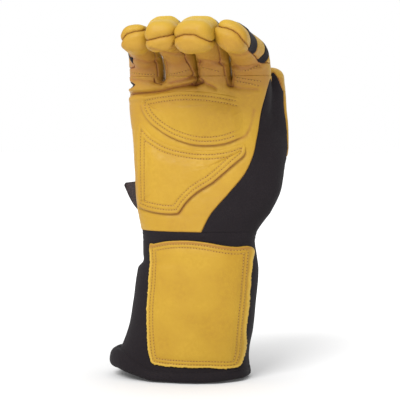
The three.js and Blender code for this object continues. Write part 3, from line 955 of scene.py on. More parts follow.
def hand_relief(points, normals):
    """Folds, bulges and unevenness of the leather; also how dark each place is."""
    x, _, z = points.T
    facing = smoothstep(-normals[:, 1], *FACING_FRONT)
    under = smoothstep(-normals[:, 2], *FACING_DOWN)
    front = np.maximum(facing, under)
    lift = np.zeros(len(points))
    dark = np.zeros(len(points))
    for line, depth, width in FOLDS:
        distance, _ = line_distance(spline(line, 8), x, z)
        lips = bell(distance - LIP_PLACE * width, LIP_WIDTH * width)
        lift += front * depth * (LIP_HEIGHT * lips - bell(distance, width))
        dark += front * FOLD_SHADE * depth * bell(distance, 0.6 * width)
    for line, depth, width in FOLD_BULGES:
        distance, _ = line_distance(spline(line, 8), x, z)
        lift += facing * depth * bell(distance, width)
    for outline in (UPPER_PAD, LOWER_PAD):
        outline = spline(outline, 6, closed=True)
        outside = -outline_depth(outline, x, z)
        low_side = facing * smoothstep(outline_slope(outline, x, z), *LOW_SIDE)
        dark += PAD_SHADE * low_side * bell(outside, SHADE_WIDTH)
        lift -= HOLLOW_DEPTH * low_side * bell(outside - HOLLOW_PLACE, HOLLOW_WIDTH)
    roots = np.where(z < FINGER_START, smoothstep(z, *FINGER_ROOTS), 0)
    dark += PALM_SHADE * facing * (smoothstep(z, *UPPER_PALM) + smoothstep(-x, *ULNAR_SIDE))
    dark += UNDERSIDE_SHADE * facing * roots
    dark += HEEL_SHADE * facing * (1 - smoothstep(z, *LOWER_PALM))
    lift += sum(height * soft_noise(points, size, seed) for height, size, seed in UNEVENNESS)
    lift -= PINCH_DEPTH * bell(z - PINCH_HEIGHT, PINCH_WIDTH) * smoothstep(-x, *PINCH_SIDE)
    return lift, np.clip(dark, 0, MOST_SHADE)


def dressed_skin(field, low, high, relief):
    """A skin as a table of points, normals and shade, with its relief on it."""
    points, faces = make_skin(field, low, high)
    normals = point_normals(points, faces)
    lift, dark = relief(points, normals)
    points = points + normals * lift[:, None]
    normals = point_normals(points, faces)
    return np.hstack([points, normals, dark[:, None]]), faces


# The hand

HAND_BOX = ((-44, -36, 100), (78, 32, 224))
THUMB_LEFT = 46.0  # nothing further left belongs to the thumb
THUMB_MARGIN = 1.0
HAND_GAP = 0.15
LEAST_SKIN = 400


def build_hand():
    """The palm, back and thumb as one skin, from the wrist to the fingers' bases."""
    skin = dressed_skin(hand_field, *HAND_BOX, hand_relief)
    skin = keep(skin, WRIST_TOP + HAND_GAP - skin[0][:, 2])
    points = skin[0][:, :3]
    off_thumb = digit_field(THUMB, points) - THUMB_MARGIN
    off_thumb = np.maximum(off_thumb, THUMB_LEFT - points[:, 0])
    skin = keep(skin, np.minimum(points[:, 2] - FINGER_START, off_thumb))
    return drop_specks(skin, LEAST_SKIN)


def curve_side(line, sideways, height):
    distance, side = line_distance(spline(line, 6), sideways, height)
    return distance * side


def split_line_y(height):
    line = np.array(HAND_SPLIT, float)
    return np.interp(height, line[:, 1], line[:, 0])


# Below the little finger the black back reaches round: height, half height, depth, place
NOTCH_HEIGHT = 206.0
NOTCH_WIDTH = 3.4
NOTCH_DEPTH = 16.5
NOTCH_SIDE = (20, 29)
SPLIT_SLOPE = 0.8
CROTCH_HEIGHT = WEB_HEIGHT - 2.5
LEAST_STRIP = 20
WRAP_GAP = 0.5
LEATHER_LIFT = 0.3
FABRIC_DROP = 0.7


def palm_values(table):
    x, y, z = table[:, :3].T
    notch = NOTCH_DEPTH * bell(z - NOTCH_HEIGHT, NOTCH_WIDTH) * smoothstep(-x, *NOTCH_SIDE)
    behind = SPLIT_SLOPE * (y + notch - split_line_y(z))
    return np.maximum(curve_side(PALM_EDGE, x, z), behind)


def cut_crotches(palm):
    """The part of each gusset that lies in the crotch, and the palm without them."""
    crotches = []
    for first, second in zip(FINGER_NAMES, FINGER_NAMES[1:]):
        points = palm[0][:, :3]
        values = np.minimum(strip_values(DIGITS[first], points, 1, CROTCH_LEAST),
                            strip_values(DIGITS[second], points, -1, CROTCH_LEAST))
        near, far = (DIGITS[name]["joints"][1] for name in (first, second))
        middle = (near[0] + near[3] + far[0] - far[3]) / 2
        values = np.maximum(values, np.abs(points[:, 0] - middle) - CROTCH_REACH)
        crotch, palm = split(palm, np.maximum(values, CROTCH_HEIGHT - points[:, 2]))
        crotches.append(drop_specks(crotch, LEAST_STRIP))
    return crotches, palm


def add_hand(skin):
    """The palm, thumb and back of the hand. Gives the crotches and the palm's surface."""
    palm, rest = split(skin, palm_values(skin[0]))
    crotches, palm = cut_crotches(palm)
    x, y, z = rest[0][:, :3].T
    area = -outline_depth(spline(THUMB_FRONT_AREA, 4, closed=True), x, z)
    front, rest = split(rest, np.maximum(y - SIDE_SPLIT_Y, area))
    x, y, z = rest[0][:, :3].T
    area = -outline_depth(THUMB_BACK_AREA, x, z)
    wrapped = np.minimum(SIDE_SPLIT_Y - WRAP_GAP - y, THUMB_WRAP_HEIGHT - z)
    thumb_back, back = split(rest, np.maximum(area, wrapped))
    palm_skin = add_shell("palm_leather_skin", palm, LEATHER, "palm_leather",
                          lift=LEATHER_LIFT)
    add_shell("thumb_side_knit", front, KNIT, "thumb_side_panel", drop=FABRIC_DROP)
    add_shell("thumb_back_skin", thumb_back, LEATHER, "thumb_back",
              lift=LEATHER_LIFT)
    add_shell("hand_back_knit", back, KNIT, "hand_back", drop=FABRIC_DROP)
    return crotches, palm_skin


# The fingers

# Places along a finger over which its seams turn, and over which the tip's seam begins
ROLL_STARTS = (0.75, 1.25)
ROLL_CHANGES = (1.7, 2.4)
TIP_SEAM_STARTS = (2.2, 2.95)
BASE_SEAM_ENDS = (0.8, 1.2)
BASE_SEAM = 2.5

# Which parts of a finger are its front, its back and its tip
FINGER_FRONT = (0.0, 0.7)
FINGER_BACKSIDE = (0.1, 0.6)
TIP_STARTS = (2.5, 2.95)
SHADE_ENDS = (2.4, 3.3)

# The soft pads of its front, each at a place and with a share of the height
PAD_PLACES = [(2.6, 1.0), (1.7, 0.8)]
PAD_HEIGHT = 0.3
PAD_WIDTH = 0.35

# The folds at its first joint, in front, and at its last, behind, where it runs in a curve
FIRST_JOINT = 1.2
FIRST_JOINT_DEPTH = 0.5
FIRST_JOINT_WIDTH = 0.14
LAST_JOINT = 2.46
BEND_CURVE = 0.05
BEND_SHADE_WIDTH = 0.04

# Ridges and grooves along a line: height, distance from it, and width
BEND_RIDGES = (0.5, 0.13, 0.07)
BEND_GROOVE = (-0.7, 0.0, 0.045)
TIP_LIPS = (0.5, 3.6, 1.9)
TIP_GROOVE = (-0.6, 0.0, 1.3)
TIP_SHADE = 0.10
JOINT_SHADE = 0.12
BEND_SHADE = 0.16
MOST_FINGER_SHADE = 0.6


def roll_slope(digit, place, across):
    """How steeply the seams run round the finger at a place along it."""
    base, tip = digit["roll"]
    base = np.where(across * base > 0, base, tip)
    return np.tan(np.radians(base * smoothstep(place, *ROLL_STARTS)
                             + (tip - base) * smoothstep(place, *ROLL_CHANGES)))


def seam_height(digit, place, across, dorsal):
    """How far a place on a finger lies behind the seam between front and back."""
    seam = np.array(digit["seam"], float)
    on_tip = np.interp(across, seam[:, 0], seam[:, 1])
    line = on_tip * smoothstep(place, *TIP_SEAM_STARTS)
    line = line + BASE_SEAM * (1 - smoothstep(place, *BASE_SEAM_ENDS))
    roll = roll_slope(digit, place, across)
    return (dorsal - line + roll * across) / np.hypot(1, roll)


def finger_relief(digit):
    """The hand's relief, with the finger's pads, its joint folds and the seam on its tip."""
    def relief(points, normals):
        lift, dark = hand_relief(points, normals)
        place, across, dorsal, _, width, depth = digit_coordinates(digit, points)
        front = smoothstep(-dorsal / depth, *FINGER_FRONT)
        back = smoothstep(dorsal / depth, *FINGER_BACKSIDE)
        tip = smoothstep(place, *TIP_STARTS)
        pads = sum(share * bell(place - middle, PAD_WIDTH) for middle, share in PAD_PLACES)
        joint = bell(place - FIRST_JOINT, FIRST_JOINT_WIDTH)
        bend = place - LAST_JOINT - BEND_CURVE * np.cos(5 * across / width)
        behind = seam_height(digit, place, across, dorsal)
        lift += front * (PAD_HEIGHT * pads - FIRST_JOINT_DEPTH * joint)
        lift += back * (ridge(bend, *BEND_RIDGES) + ridge(bend, *BEND_GROOVE))
        lift += tip * (ridge(behind, *TIP_LIPS) + ridge(behind, *TIP_GROOVE))
        dark += front * (JOINT_SHADE * joint
                         + UNDERSIDE_SHADE * (1 - smoothstep(place, *SHADE_ENDS)))
        dark += BEND_SHADE * back * bell(bend, BEND_SHADE_WIDTH)
        dark += TIP_SHADE * tip * bell(behind, 1.0)
        return lift, np.clip(dark, 0, MOST_FINGER_SHADE)
    return relief


STRIP_LEAST = 0.2  # of the half width: how far to the side a gusset begins
PLACE_LENGTH = 12.0  # about one joint of a finger
BAND_PLACE_LENGTH = 18.0
BAND_DROP = 0.5
BAND_LIFT = 0.1
LEAST_HALF_STRIP = 0.2
END_SHARE = 0.4  # how much of its dorsal offset a gusset keeps at its end


def strip_values(digit, points, side, least=STRIP_LEAST):
    """Below zero on the side strip of a finger: the gusset towards its neighbour."""
    place, across, dorsal, _, width, _ = digit_coordinates(digit, points)
    shrink = 1 - np.clip(place / GUSSET_END, 0, 1) ** 3
    middle = (GUSSET_FRONT + GUSSET_BACK) / 2
    half = (GUSSET_BACK - GUSSET_FRONT) / 2 * shrink + LEAST_HALF_STRIP
    roll = roll_slope(digit, place, across)
    centre = middle * (END_SHARE + (1 - END_SHARE) * shrink) - roll * across
    values = np.maximum(np.abs(dorsal - centre) - half, least * width - side * across)
    return np.maximum(values, (place - GUSSET_END) * PLACE_LENGTH)


FINGER_MARGIN = 16.0
FINGER_TOP = 256.0
FINGER_BACK = 12.0
FINGER_BELOW = 5.0
SKIRT_STARTS = (-0.05, 0.05)


def finger_skin(digit):
    """A finger's skin, with a skirt at its base that lies just inside the hand's."""
    joints = np.array(digit["joints"], float)
    low = joints[1:, :3].min(axis=0) - FINGER_MARGIN
    high = joints[1:, :3].max(axis=0) + FINGER_MARGIN
    low[2], high[2] = FINGER_START - FINGER_BELOW, FINGER_TOP
    high[1] = max(high[1], FINGER_BACK)

    def field(points):
        return finger_field(digit, points)

    skin = dressed_skin(field, low, high, finger_relief(digit))
    table, faces = keep(skin, FINGER_START - SKIRT - skin[0][:, 2])
    below = smoothstep(FINGER_START - table[:, 2], *SKIRT_STARTS)
    table[:, :3] -= table[:, 3:6] * (SKIRT_DEPTH * below)[:, None]
    return drop_specks((table, faces), LEAST_SKIN)


def add_finger(name, number):
    """A finger's panels and bands. Gives its two gusset strips and the front's surface."""
    digit = DIGITS[name]
    skin = finger_skin(digit)
    strips = []
    for side in (-1, 1):
        if number + side not in range(len(FINGER_NAMES)):
            strips.append(None)
            continue
        strip, skin = split(skin, strip_values(digit, skin[0][:, :3], side))
        strips.append(drop_specks(strip, LEAST_STRIP))
    place, across, dorsal, *_ = digit_coordinates(digit, skin[0][:, :3])
    front, back = split(skin, seam_height(digit, place, across, dorsal))
    for label, start, end in digit["bands"]:
        place, *_ = digit_coordinates(digit, back[0][:, :3])
        outside = np.abs(place - (start + end) / 2) - (end - start) / 2
        band, back = split(back, outside * BAND_PLACE_LENGTH)
        add_shell(f"{name}_{label}_elastic", band, KNIT, f"{name}_{label}_band",
                  drop=BAND_DROP, lift=BAND_LIFT, wall=BAND_WALL)
    front_skin = add_shell(f"{name}_front_skin", front, LEATHER, f"{name}_front")
    add_shell(f"{name}_back_skin", back, LEATHER, f"{name}_back")
    return strips, front_skin


def add_gussets(crotches, strips):
    for gap, crotch in enumerate(crotches):
        first, second = FINGER_NAMES[gap], FINGER_NAMES[gap + 1]
        parts = [crotch, strips[gap][1], strips[gap + 1][0]]
        name = f"gusset_{first}_{second}"
        add_shell(f"{name}_skin", merge_skins(parts), LEATHER, name,
                  drop=FABRIC_DROP)


# Pads and patches sewn on top

PATCH_MARGIN = 3.0
LEAST_PATCH = 100
UNDER_PATCH = -0.05  # the patch ends this far above the skin that it lies on
ROUND_WIDTH = 1.1  # of a pad's rolled edge
PAD_RINGS = (0.5, 1.2)
PAD_ROWS = (2.9, 5.8)  # of stitches, inwards from the outline
PAD_THICKNESS = 2.0
GUARD_THICKNESS = 2.2
CROWN = 0.7
CROWN_DEPTHS = (6.2, 12)
CROWN_ROUNDS = 60
GROOVE_WIDTH = 0.55
GROOVE_DEPTH = 0.38
GROOVE_SHADE = 0.14
# The next is painted shadow along the rim of a pad's low side
PAD_RIM_SHADOW = 0.75
LEAST_HEIGHT = 0.15
EDGE_SHARE = (0.35, 0.75)  # of the thickness at the edge: everywhere, and more on the low side
SLOPE_STEP = 0.2
PAD_LOW_SIDE = (-0.35, 0.6)
PAD_RIM_SHADOW_REACH = (0.0, 0.6)
SKIN_SHADE_SHARE = 0.7
FRONT_FACE_Y = -2.0
BACK_FACE_Y = 4.0


def outline_slope(outline, x, z):
    """Which way the depth inside an outline grows, in height."""
    above = outline_depth(outline, x, z + SLOPE_STEP)
    below = outline_depth(outline, x, z - SLOPE_STEP)
    return (above - below) / (2 * SLOPE_STEP)


def patch_skin(skin, outline, edge, facing):
    """The part of a skin inside an edge that runs along an outline, in finer triangles."""
    table, faces = skin
    x, y, z = table[:, :3].T
    near = np.maximum(-outline_depth(outline, x, z), facing(y))
    close = (near[faces] < PATCH_MARGIN).any(axis=1)
    table, faces = refine(*compact(table, faces[close]))
    x, y, z = table[:, :3].T
    inside = np.maximum(-outline_depth(edge, x, z), facing(y))
    return drop_specks(keep((table, faces), inside), LEAST_PATCH)


def rolled_edge(depth, width):
    """How far a rolled edge has fallen, from one at the rim to nothing further in."""
    return 1 - np.sqrt(1 - np.clip(1 - depth / width, 0, 1) ** 2)


def add_pad(node, skin, outline, rows, thickness, front=True, flush_top=True,
            most_x=FAR, fade=(FAR - 1, FAR)):
    """A padded patch: raised, round at its rim, sunk along its stitch rows."""
    outline = spline(outline, 6, closed=True)

    def facing(y):
        return y - FRONT_FACE_Y if front else BACK_FACE_Y - y

    table, faces = patch_skin(skin, outline, outline, facing)
    for ring in PAD_RINGS:
        depth = outline_depth(outline, table[:, 0], table[:, 2])
        table, faces, _ = cut(table, faces, depth - ring)
    x, _, z = table[:, :3].T
    depth = np.maximum(outline_depth(outline, x, z), 0)
    slope = outline_slope(outline, x, z)
    low_side = smoothstep(slope, *PAD_LOW_SIDE) if flush_top else 1.0
    edge_height = thickness * (EDGE_SHARE[0] + EDGE_SHARE[1] * low_side)
    centre = blur(smoothstep(depth, *CROWN_DEPTHS), faces, CROWN_ROUNDS)
    height = edge_height + (thickness + CROWN - edge_height) * centre
    height = height - edge_height * rolled_edge(depth, ROUND_WIDTH)
    groove = sum(bell(depth - row, GROOVE_WIDTH) for row in rows)
    present = 1 - smoothstep(x, *fade)
    height = np.maximum(present * (height - GROOVE_DEPTH * groove), LEAST_HEIGHT)
    # Painted shade in the stitch grooves, and painted shadow along the rim of the pad's low side
    rim = (1 - smoothstep(depth, *PAD_RIM_SHADOW_REACH)) * low_side * present
    shade = SKIN_SHADE_SHARE * table[:, 6] + GROOVE_SHADE * groove * present + PAD_RIM_SHADOW * rim
    points, all_faces = thicken(table, faces, height, UNDER_PATCH)
    piece = make_piece(f"{node}_leather", points, all_faces, LEATHER, [node],
                       shade=np.concatenate([shade, shade]))
    for row in rows:
        STITCHES.add_rows(points[:len(table)], faces, inset(outline, row), front, most_x)


BLUR_SHARE = 0.6


def blur(values, faces, rounds):
    """Evens out values over the skin."""
    ends = np.vstack([faces[:, [0, 1]], faces[:, [1, 2]], faces[:, [2, 0]]])
    ends = np.vstack([ends, ends[:, ::-1]])
    size = len(values)
    count = np.bincount(ends[:, 0], minlength=size)
    for _ in range(rounds):
        around = np.bincount(ends[:, 0], values[ends[:, 1]], size) / np.maximum(count, 1)
        values = (1 - BLUR_SHARE) * values + BLUR_SHARE * around
    return values


def refine(table, faces):
    """Each triangle becomes four."""
    count = len(table)
    pairs = np.sort(faces[:, [[0, 1], [1, 2], [2, 0]]], axis=2)
    keys = pairs[:, :, 0] * count + pairs[:, :, 1]
    unique, place = np.unique(keys, return_inverse=True)
    middles = (table[unique // count] + table[unique % count]) / 2
    middle = place.reshape(-1, 3) + count
    a, b, c = faces.T
    ab, bc, ca = middle.T
    new = [(a, ab, ca), (b, bc, ab), (c, ca, bc), (ab, bc, ca)]
    return np.vstack([table, middles]), np.vstack([np.stack(part, axis=1) for part in new])


INSET_STEP = 0.5
INSET_SHARE = 0.9


def inset(outline, distance):
    """The outline moved inwards, without the places where it would fold over itself."""
    _, dense = even_points(np.vstack([outline, outline[:1]]), INSET_STEP)
    run = np.roll(dense, -2, axis=0) - np.roll(dense, 2, axis=0)
    left = unit(np.stack([-run[:, 1], run[:, 0]], axis=1))
    moved = dense + left * distance
    if outline_depth(outline, moved[:, 0], moved[:, 1]).mean() < 0:
        moved = dense - left * distance
    depth = outline_depth(outline, moved[:, 0], moved[:, 1])
    kept = moved[depth > INSET_SHARE * distance]
    return np.vstack([kept, kept[:1]])


# Stitches

STITCH_PITCH = 2.0
STITCH_LENGTH = 1.1
STITCH_RADIUS = 0.28
STITCH_SIDES = 5
HOLE_RADIUS = 0.42
HOLE_SIDES = 6
FRONT_START = (-150.0, 1.0)  # where a ray starts in y, and which way it goes
BACK_START = (80.0, -1.0)
ARCH_HEIGHT = (0.10, 0.12)  # of a stitch at its ends, and how much more at its middle
HOLE_HEIGHTS = (0.12, 0.03, -0.2)  # of a hole's middle, its rim and its point

# Along a stitch: the share of its length, and the share of its radius there
STITCH_RINGS = [(-0.08, 0.35), (0.15, 0.9), (0.5, 1.0), (0.85, 0.9), (1.08, 0.35)]


def circle(centre, side, other, radius, count):
    """Points evenly round a centre."""
    turns = [2 * math.pi * corner / count for corner in range(count)]
    return [centre + (side * math.cos(turn) + other * math.sin(turn)) * radius
            for turn in turns]


class StitchBook:
    """Collects the stitches and the painted shadows of their holes, and makes one piece of them
    all.
    """

    def __init__(self):
        self.points, self.faces, self.slots, self.count = [], [], [], 0

    def add_part(self, points, faces, slot):
        self.points.append(np.array([tuple(point) for point in points]))
        self.faces.extend((np.array(faces) + self.count).tolist())
        self.slots.extend([slot] * len(faces))
        self.count += len(points)

    def add_rows(self, surface_points, surface_faces, line, front=True, most_x=FAR):
        """Stitches along a line of x and height, laid on the front or back of a surface."""
        tree = BVHTree.FromPolygons(surface_points.tolist(), surface_faces.tolist())
        spots = np.array(line, float)
        length = running_length(spots)
        start_y, run_y = FRONT_START if front else BACK_START
        ray = Vector((0, run_y, 0))
        shifts = (-STITCH_LENGTH / 2, 0, STITCH_LENGTH / 2, STITCH_PITCH / 2)
        for place in np.arange(STITCH_PITCH / 2, length[-1], STITCH_PITCH):
            hits = []
            for shift in shifts:
                x, z = (np.interp(place + shift, length, spots[:, i]) for i in range(2))
                hits.append(tree.ray_cast(Vector((x, start_y, z)), ray)[:2])
            (start, _), (middle, normal), (end, _), (hole, _) = hits
            if None in (start, middle, end, hole) or middle.x > most_x:
                continue
            if (end - start).length > 2 * STITCH_LENGTH:
                continue
            normal = normal if normal.dot(ray) < 0 else -normal
            self.add_stitch(start, end, normal)
            self.add_hole_shadow(hole, normal)

    def add_stitch(self, start, end, normal):
        """A short thick thread, arched over the leather."""
        side = (end - start).normalized().cross(normal).normalized()
        points = []
        for share, swell in STITCH_RINGS:
            arch = ARCH_HEIGHT[0] + ARCH_HEIGHT[1] * math.sin(math.pi * share)
            points += circle(start.lerp(end, share) + normal * arch, side, normal,
                             STITCH_RADIUS * swell, STITCH_SIDES)
        faces = grid_faces(len(STITCH_RINGS), STITCH_SIDES).tolist()
        last = len(points) - STITCH_SIDES
        for corner in range(1, STITCH_SIDES - 1):
            faces.append((0, corner + 1, corner))
            faces.append((last, last + corner, last + corner + 1))
        self.add_part(points, faces, 0)

    def add_hole_shadow(self, centre, normal):
        """A small dark disc beside a stitch: the painted shadow of its hole."""
        side = normal.orthogonal().normalized()
        middle, rim, point = (centre + normal * height for height in HOLE_HEIGHTS)
        ring = circle(rim, side, normal.cross(side), HOLE_RADIUS, HOLE_SIDES)
        points = [middle, *ring, point]
        faces = []
        for corner in range(HOLE_SIDES):
            here, after = 1 + corner, 1 + (corner + 1) % HOLE_SIDES
            faces.append((0, here, after))
            faces.append((HOLE_SIDES + 1, after, here))
        self.add_part(points, faces, 1)

    def make(self, name):
        points = np.vstack(self.points)
        piece = make_piece(name, points, np.array(self.faces), THREAD, [])
        piece.data.materials.append(HOLE_SHADOW_MATERIAL)
        piece.data.polygons.foreach_set("material_index", self.slots)


STITCHES = StitchBook()


# The cuff

def ring_point(section_of, angle, height, grow):
    """Points of the cuff's outer surface at an angle and a height."""
    ulnar, radial, palm, back = (section_of(i, height) for i in range(1, 5))
    power = 2 / OVAL_POWER
    across = np.sign(np.cos(angle)) * np.abs(np.cos(angle)) ** power
    deep = np.sign(np.sin(angle)) * np.abs(np.sin(angle)) ** power
    x = (ulnar + radial) / 2 + ((radial - ulnar) / 2 + grow) * across
    y = np.where(deep > 0, (back + grow) * deep, (grow - palm) * deep)
    fade = np.maximum(0, 1 - height / RIM_LIFT_REACH)
    return np.stack([x, y, height + RIM_LIFT * fade * across**2], axis=-1)


def cuff_section(column, height):
    return smooth_column(CUFF_SECTIONS[:, 0], CUFF_SECTIONS[:, column], height)


CUFF_SIDES = 200
FINE_SIDES = 2000
MIDDLE_HEIGHT = 60.0


def even_angles():
    """Angles that space points evenly round the squarish oval."""
    fine = np.linspace(0, 2 * math.pi, FINE_SIDES)
    ring = ring_point(cuff_section, fine, np.full(FINE_SIDES, MIDDLE_HEIGHT), 0)
    length = running_length(ring)
    return np.interp(np.arange(CUFF_SIDES) / CUFF_SIDES * length[-1], length, fine)


def grid_faces(rows, columns, close_rows=False, close_columns=True):
    """Two triangles for each cell of a grid of points, closed on itself either way."""
    faces = []
    for row in range(rows if close_rows else rows - 1):
        upper = (row + 1) % rows
        for column in range(columns if close_columns else columns - 1):
            after = (column + 1) % columns
            a, b = row * columns + column, row * columns + after
            c, d = upper * columns + after, upper * columns + column
            faces.append((a, b, c))
            faces.append((a, c, d))
    return np.array(faces)


def tube(section_of, low, high, step):
    """The plain outer surface between two heights."""
    heights = np.arange(low, high, step)
    height, angle = np.meshgrid(heights, even_angles(), indexing="ij")
    points = ring_point(section_of, angle, height, 0.0).reshape(-1, 3)
    return points, grid_faces(len(heights), CUFF_SIDES)


def plain_table(points, normals):
    return np.hstack([points, normals, np.zeros((len(points), 1))])


def cuff_skin(low, high, step):
    points, faces = tube(cuff_section, low, high + step / 2, step)
    points = points + point_normals(points, faces) * sleeve_relief(points)[:, None]
    return plain_table(points, point_normals(points, faces)), faces


SLEEVE_LOW = 6.9
SLEEVE_HIGH = 96.9
SLEEVE_STEP = 1.5
SLEEVE_DROP = 0.25
PATCH_HIGH = 101.9
PATCH_STEP = 1.0
DRAPE_DEPTH = 0.5
DRAPE_SIZE = 14.0
DRAPE_STRETCH = (1, 1, 0.45)
WAVE_DEPTH = 0.5
WAVE_LENGTH = 7.0
WAVE_HEIGHTS = (30, 80)
WAVE_SIDES = (4, 20)
WAVE_START = 0.8
SEAM_DEPTH = 0.9
SEAM_WIDTH = 1.3
SEAM_Y = 3.0


def sleeve_relief(points):
    """Soft drape of the sleeve, and the side seams."""
    x, y, z = points.T
    low = 1 - smoothstep(z, *WAVE_HEIGHTS)
    lift = DRAPE_DEPTH * soft_noise(points * np.array(DRAPE_STRETCH), DRAPE_SIZE, 5.0)
    wave = np.sin(x / WAVE_LENGTH + WAVE_START) * smoothstep(np.abs(y), *WAVE_SIDES)
    lift += WAVE_DEPTH * low * wave
    lift -= SEAM_DEPTH * bell(y - SEAM_Y, SEAM_WIDTH)
    return lift


def add_cuff():
    sleeve = cuff_skin(SLEEVE_LOW, SLEEVE_HIGH, SLEEVE_STEP)
    add_shell("cuff_sleeve_knit", sleeve, KNIT, "cuff_sleeve", drop=SLEEVE_DROP)
    add_cuff_patch(cuff_skin(SLEEVE_LOW, PATCH_HIGH, PATCH_STEP))
    add_hem()
    add_wrist_band()


# The patch on the cuff: millimetres inwards from its edge, unless a name says height
TOOTH_STEP = 0.45
TOOTH_DEPTH = 0.5
WANDER_DEPTH = 0.45
CUT_EDGE_TOP = 93.0  # above this height the edge is folded, not cut
FOLDED_HEIGHTS = (91.5, 94.5)
CUFF_PATCH_HEIGHT = 1.5
CUFF_PATCH_ROWS = (2.3, 4.7)
SUEDE_WIDTH = (0.6, 2.0)
CUFF_ROLL_DROP = 0.5
CUFF_ROLL_WIDTH = 0.9
CUFF_CROWN = 0.35
CUFF_CROWN_DEPTHS = (5, 9)
CUFF_GROOVE_DEPTH = 0.3
CUFF_GROOVE_WIDTH = 0.6
CUFF_GROOVE_SHADE = 0.12
FOLDED_SHADE = 0.45
FOLDED_SHADE_STARTS = (0.4, 0.9)
FOLDED_SHADE_ENDS = (1.6, 2.6)
PATCH_FACE_Y = -3.0


def noise_along(places, size, *seed):
    return np.array([noise.noise(Vector((place / size, *seed))) for place in places])


def fuzzy_outline(outline):
    """The patch's outline with the small teeth of a cut suede edge on three sides."""
    dense = spline(outline, 8, closed=True)
    places, line = even_points(np.vstack([dense, dense[:1]]), TOOTH_STEP)
    outward = unit(line - line.mean(axis=0))
    teeth = noise_along(places, 1.1, 4.0, 0.5) + 0.8 * noise_along(places, 0.5, 9.0, 2.5)
    wander = noise_along(places, 9.0, 2.0, 7.5)
    cut_edge = smoothstep(CUT_EDGE_TOP - line[:, 1], 0.0, 3.0)
    return line + outward * ((TOOTH_DEPTH * teeth + WANDER_DEPTH * wander) * cut_edge)[:, None]


def add_cuff_patch(skin):
    outline = spline(CUFF_PATCH, 6, closed=True)
    edge_line = fuzzy_outline(CUFF_PATCH)
    table, faces = patch_skin(skin, outline, edge_line, lambda y: y - PATCH_FACE_Y)
    x, _, z = table[:, :3].T
    depth = np.maximum(outline_depth(edge_line, x, z), 0)
    even_depth = outline_depth(outline, x, z)
    groove = sum(bell(even_depth - row, CUFF_GROOVE_WIDTH) for row in CUFF_PATCH_ROWS)
    height = CUFF_PATCH_HEIGHT - CUFF_ROLL_DROP * rolled_edge(depth, CUFF_ROLL_WIDTH)
    crown = smoothstep(even_depth, *CUFF_CROWN_DEPTHS)
    height += CUFF_CROWN * crown - CUFF_GROOVE_DEPTH * groove
    folded = smoothstep(z, *FOLDED_HEIGHTS)
    under_fold = smoothstep(depth, *FOLDED_SHADE_STARTS)
    under_fold = under_fold * (1 - smoothstep(depth, *FOLDED_SHADE_ENDS))
    shade = CUFF_GROOVE_SHADE * groove + FOLDED_SHADE * folded * under_fold
    edge = (1 - smoothstep(depth, *SUEDE_WIDTH)) * (1 - folded)
    points, all_faces = thicken(table, faces, height, UNDER_PATCH)
    make_piece("cuff_patch_leather", points, all_faces, LEATHER, ["cuff_patch"],
               shade=np.concatenate([shade, shade]), edge=np.concatenate([edge, edge]))
    for row in CUFF_PATCH_ROWS:
        STITCHES.add_rows(points[:len(table)], faces, inset(outline, row))


# The rolled hem: its half height, half width and middle, each with what the ulnar lip and
# the radial side add
HEM_SECTION_SIDES = 20
HEM_INSET = 1.0
HEM_HALF_HEIGHT = (3.4, 2.8, 0.2)
HEM_HALF_WIDTH = (3.0, 1.2, -1.5)
HEM_MIDDLE = (2.6, 6.0, 1.2)
HEM_ULNAR = (12, 44)
HEM_RADIAL = (20, 42)
HEM_SQUARENESS = 0.8
HEM_LEAN = 0.12
HEM_WAVE = 0.25
HEM_WAVE_TURN = 0.37  # of the wave, from one point of the ring to the next
HEM_ROUGHNESS = 0.25


def add_hem():
    """The thick rolled binding at the rim, fullest at the ulnar lip."""
    ring = ring_point(cuff_section, even_angles(), np.full(CUFF_SIDES, RIM_HEIGHT), -HEM_INSET)
    outward = ring - ring.mean(axis=0)
    outward[:, 2] = 0
    outward = unit(outward)
    parts = np.stack([np.ones(CUFF_SIDES), smoothstep(-ring[:, 0], *HEM_ULNAR),
                      smoothstep(ring[:, 0], *HEM_RADIAL)], axis=1)
    half_height = parts @ HEM_HALF_HEIGHT
    half_width = parts @ HEM_HALF_WIDTH
    middle_z = half_height + parts @ HEM_MIDDLE
    wave = np.sin(np.arange(CUFF_SIDES) * HEM_WAVE_TURN) * HEM_WAVE
    turns = np.arange(HEM_SECTION_SIDES) * 2 * math.pi / HEM_SECTION_SIDES
    across, upward = (np.sign(part) * np.abs(part) ** HEM_SQUARENESS
                      for part in (np.cos(turns), np.sin(turns)))
    up = half_height[:, None] * upward
    out = half_width[:, None] * across - HEM_LEAN * up + wave[:, None]
    points = ring[:, None] + outward[:, None] * out[:, :, None]
    points[:, :, 2] = middle_z[:, None] + up
    points = points.reshape(-1, 3)
    faces = grid_faces(CUFF_SIDES, HEM_SECTION_SIDES, close_rows=True)[:, ::-1]
    rough = HEM_ROUGHNESS * soft_noise(points, 9.0, 21.0)
    points = points + point_normals(points, faces) * rough[:, None]
    make_piece("cuff_hem_binding", points, faces, KNIT, ["cuff_hem"])


BAND_LOW = CUFF_TOP - 1.0
BAND_HIGH = WRIST_TOP + 0.4
BAND_STEP = 0.8
RIB_DEPTH = 0.12
RIB_SUNK = 0.15
RIB_TURN = 2.1


def hand_section(column, height):
    return smooth_column(HAND_SECTIONS[:, 0], HAND_SECTIONS[:, column], height)


def add_wrist_band():
    """The narrow black band between cuff and hand, a little sunk."""
    points, faces = tube(hand_section, BAND_LOW, BAND_HIGH, BAND_STEP)
    normals = point_normals(points, faces)
    rib = RIB_DEPTH * np.sin(points[:, 2] * RIB_TURN) - RIB_SUNK
    table = plain_table(points + normals * rib[:, None], normals)
    add_shell("wrist_band_knit", (table, faces), KNIT, "wrist_band",
              drop=RIB_SUNK)


# The pull tab

TAB_COLUMNS = 15
TAB_ROWS = 25
TAB_Y = 5.6
TAB_THICKNESS = 1.4
TAB_SAG = 2.2
TAB_RIB = 0.18
TAB_RIB_TURN = 40.0
TAB_CORNER = 0.12  # the share of its width at which the top edge bends


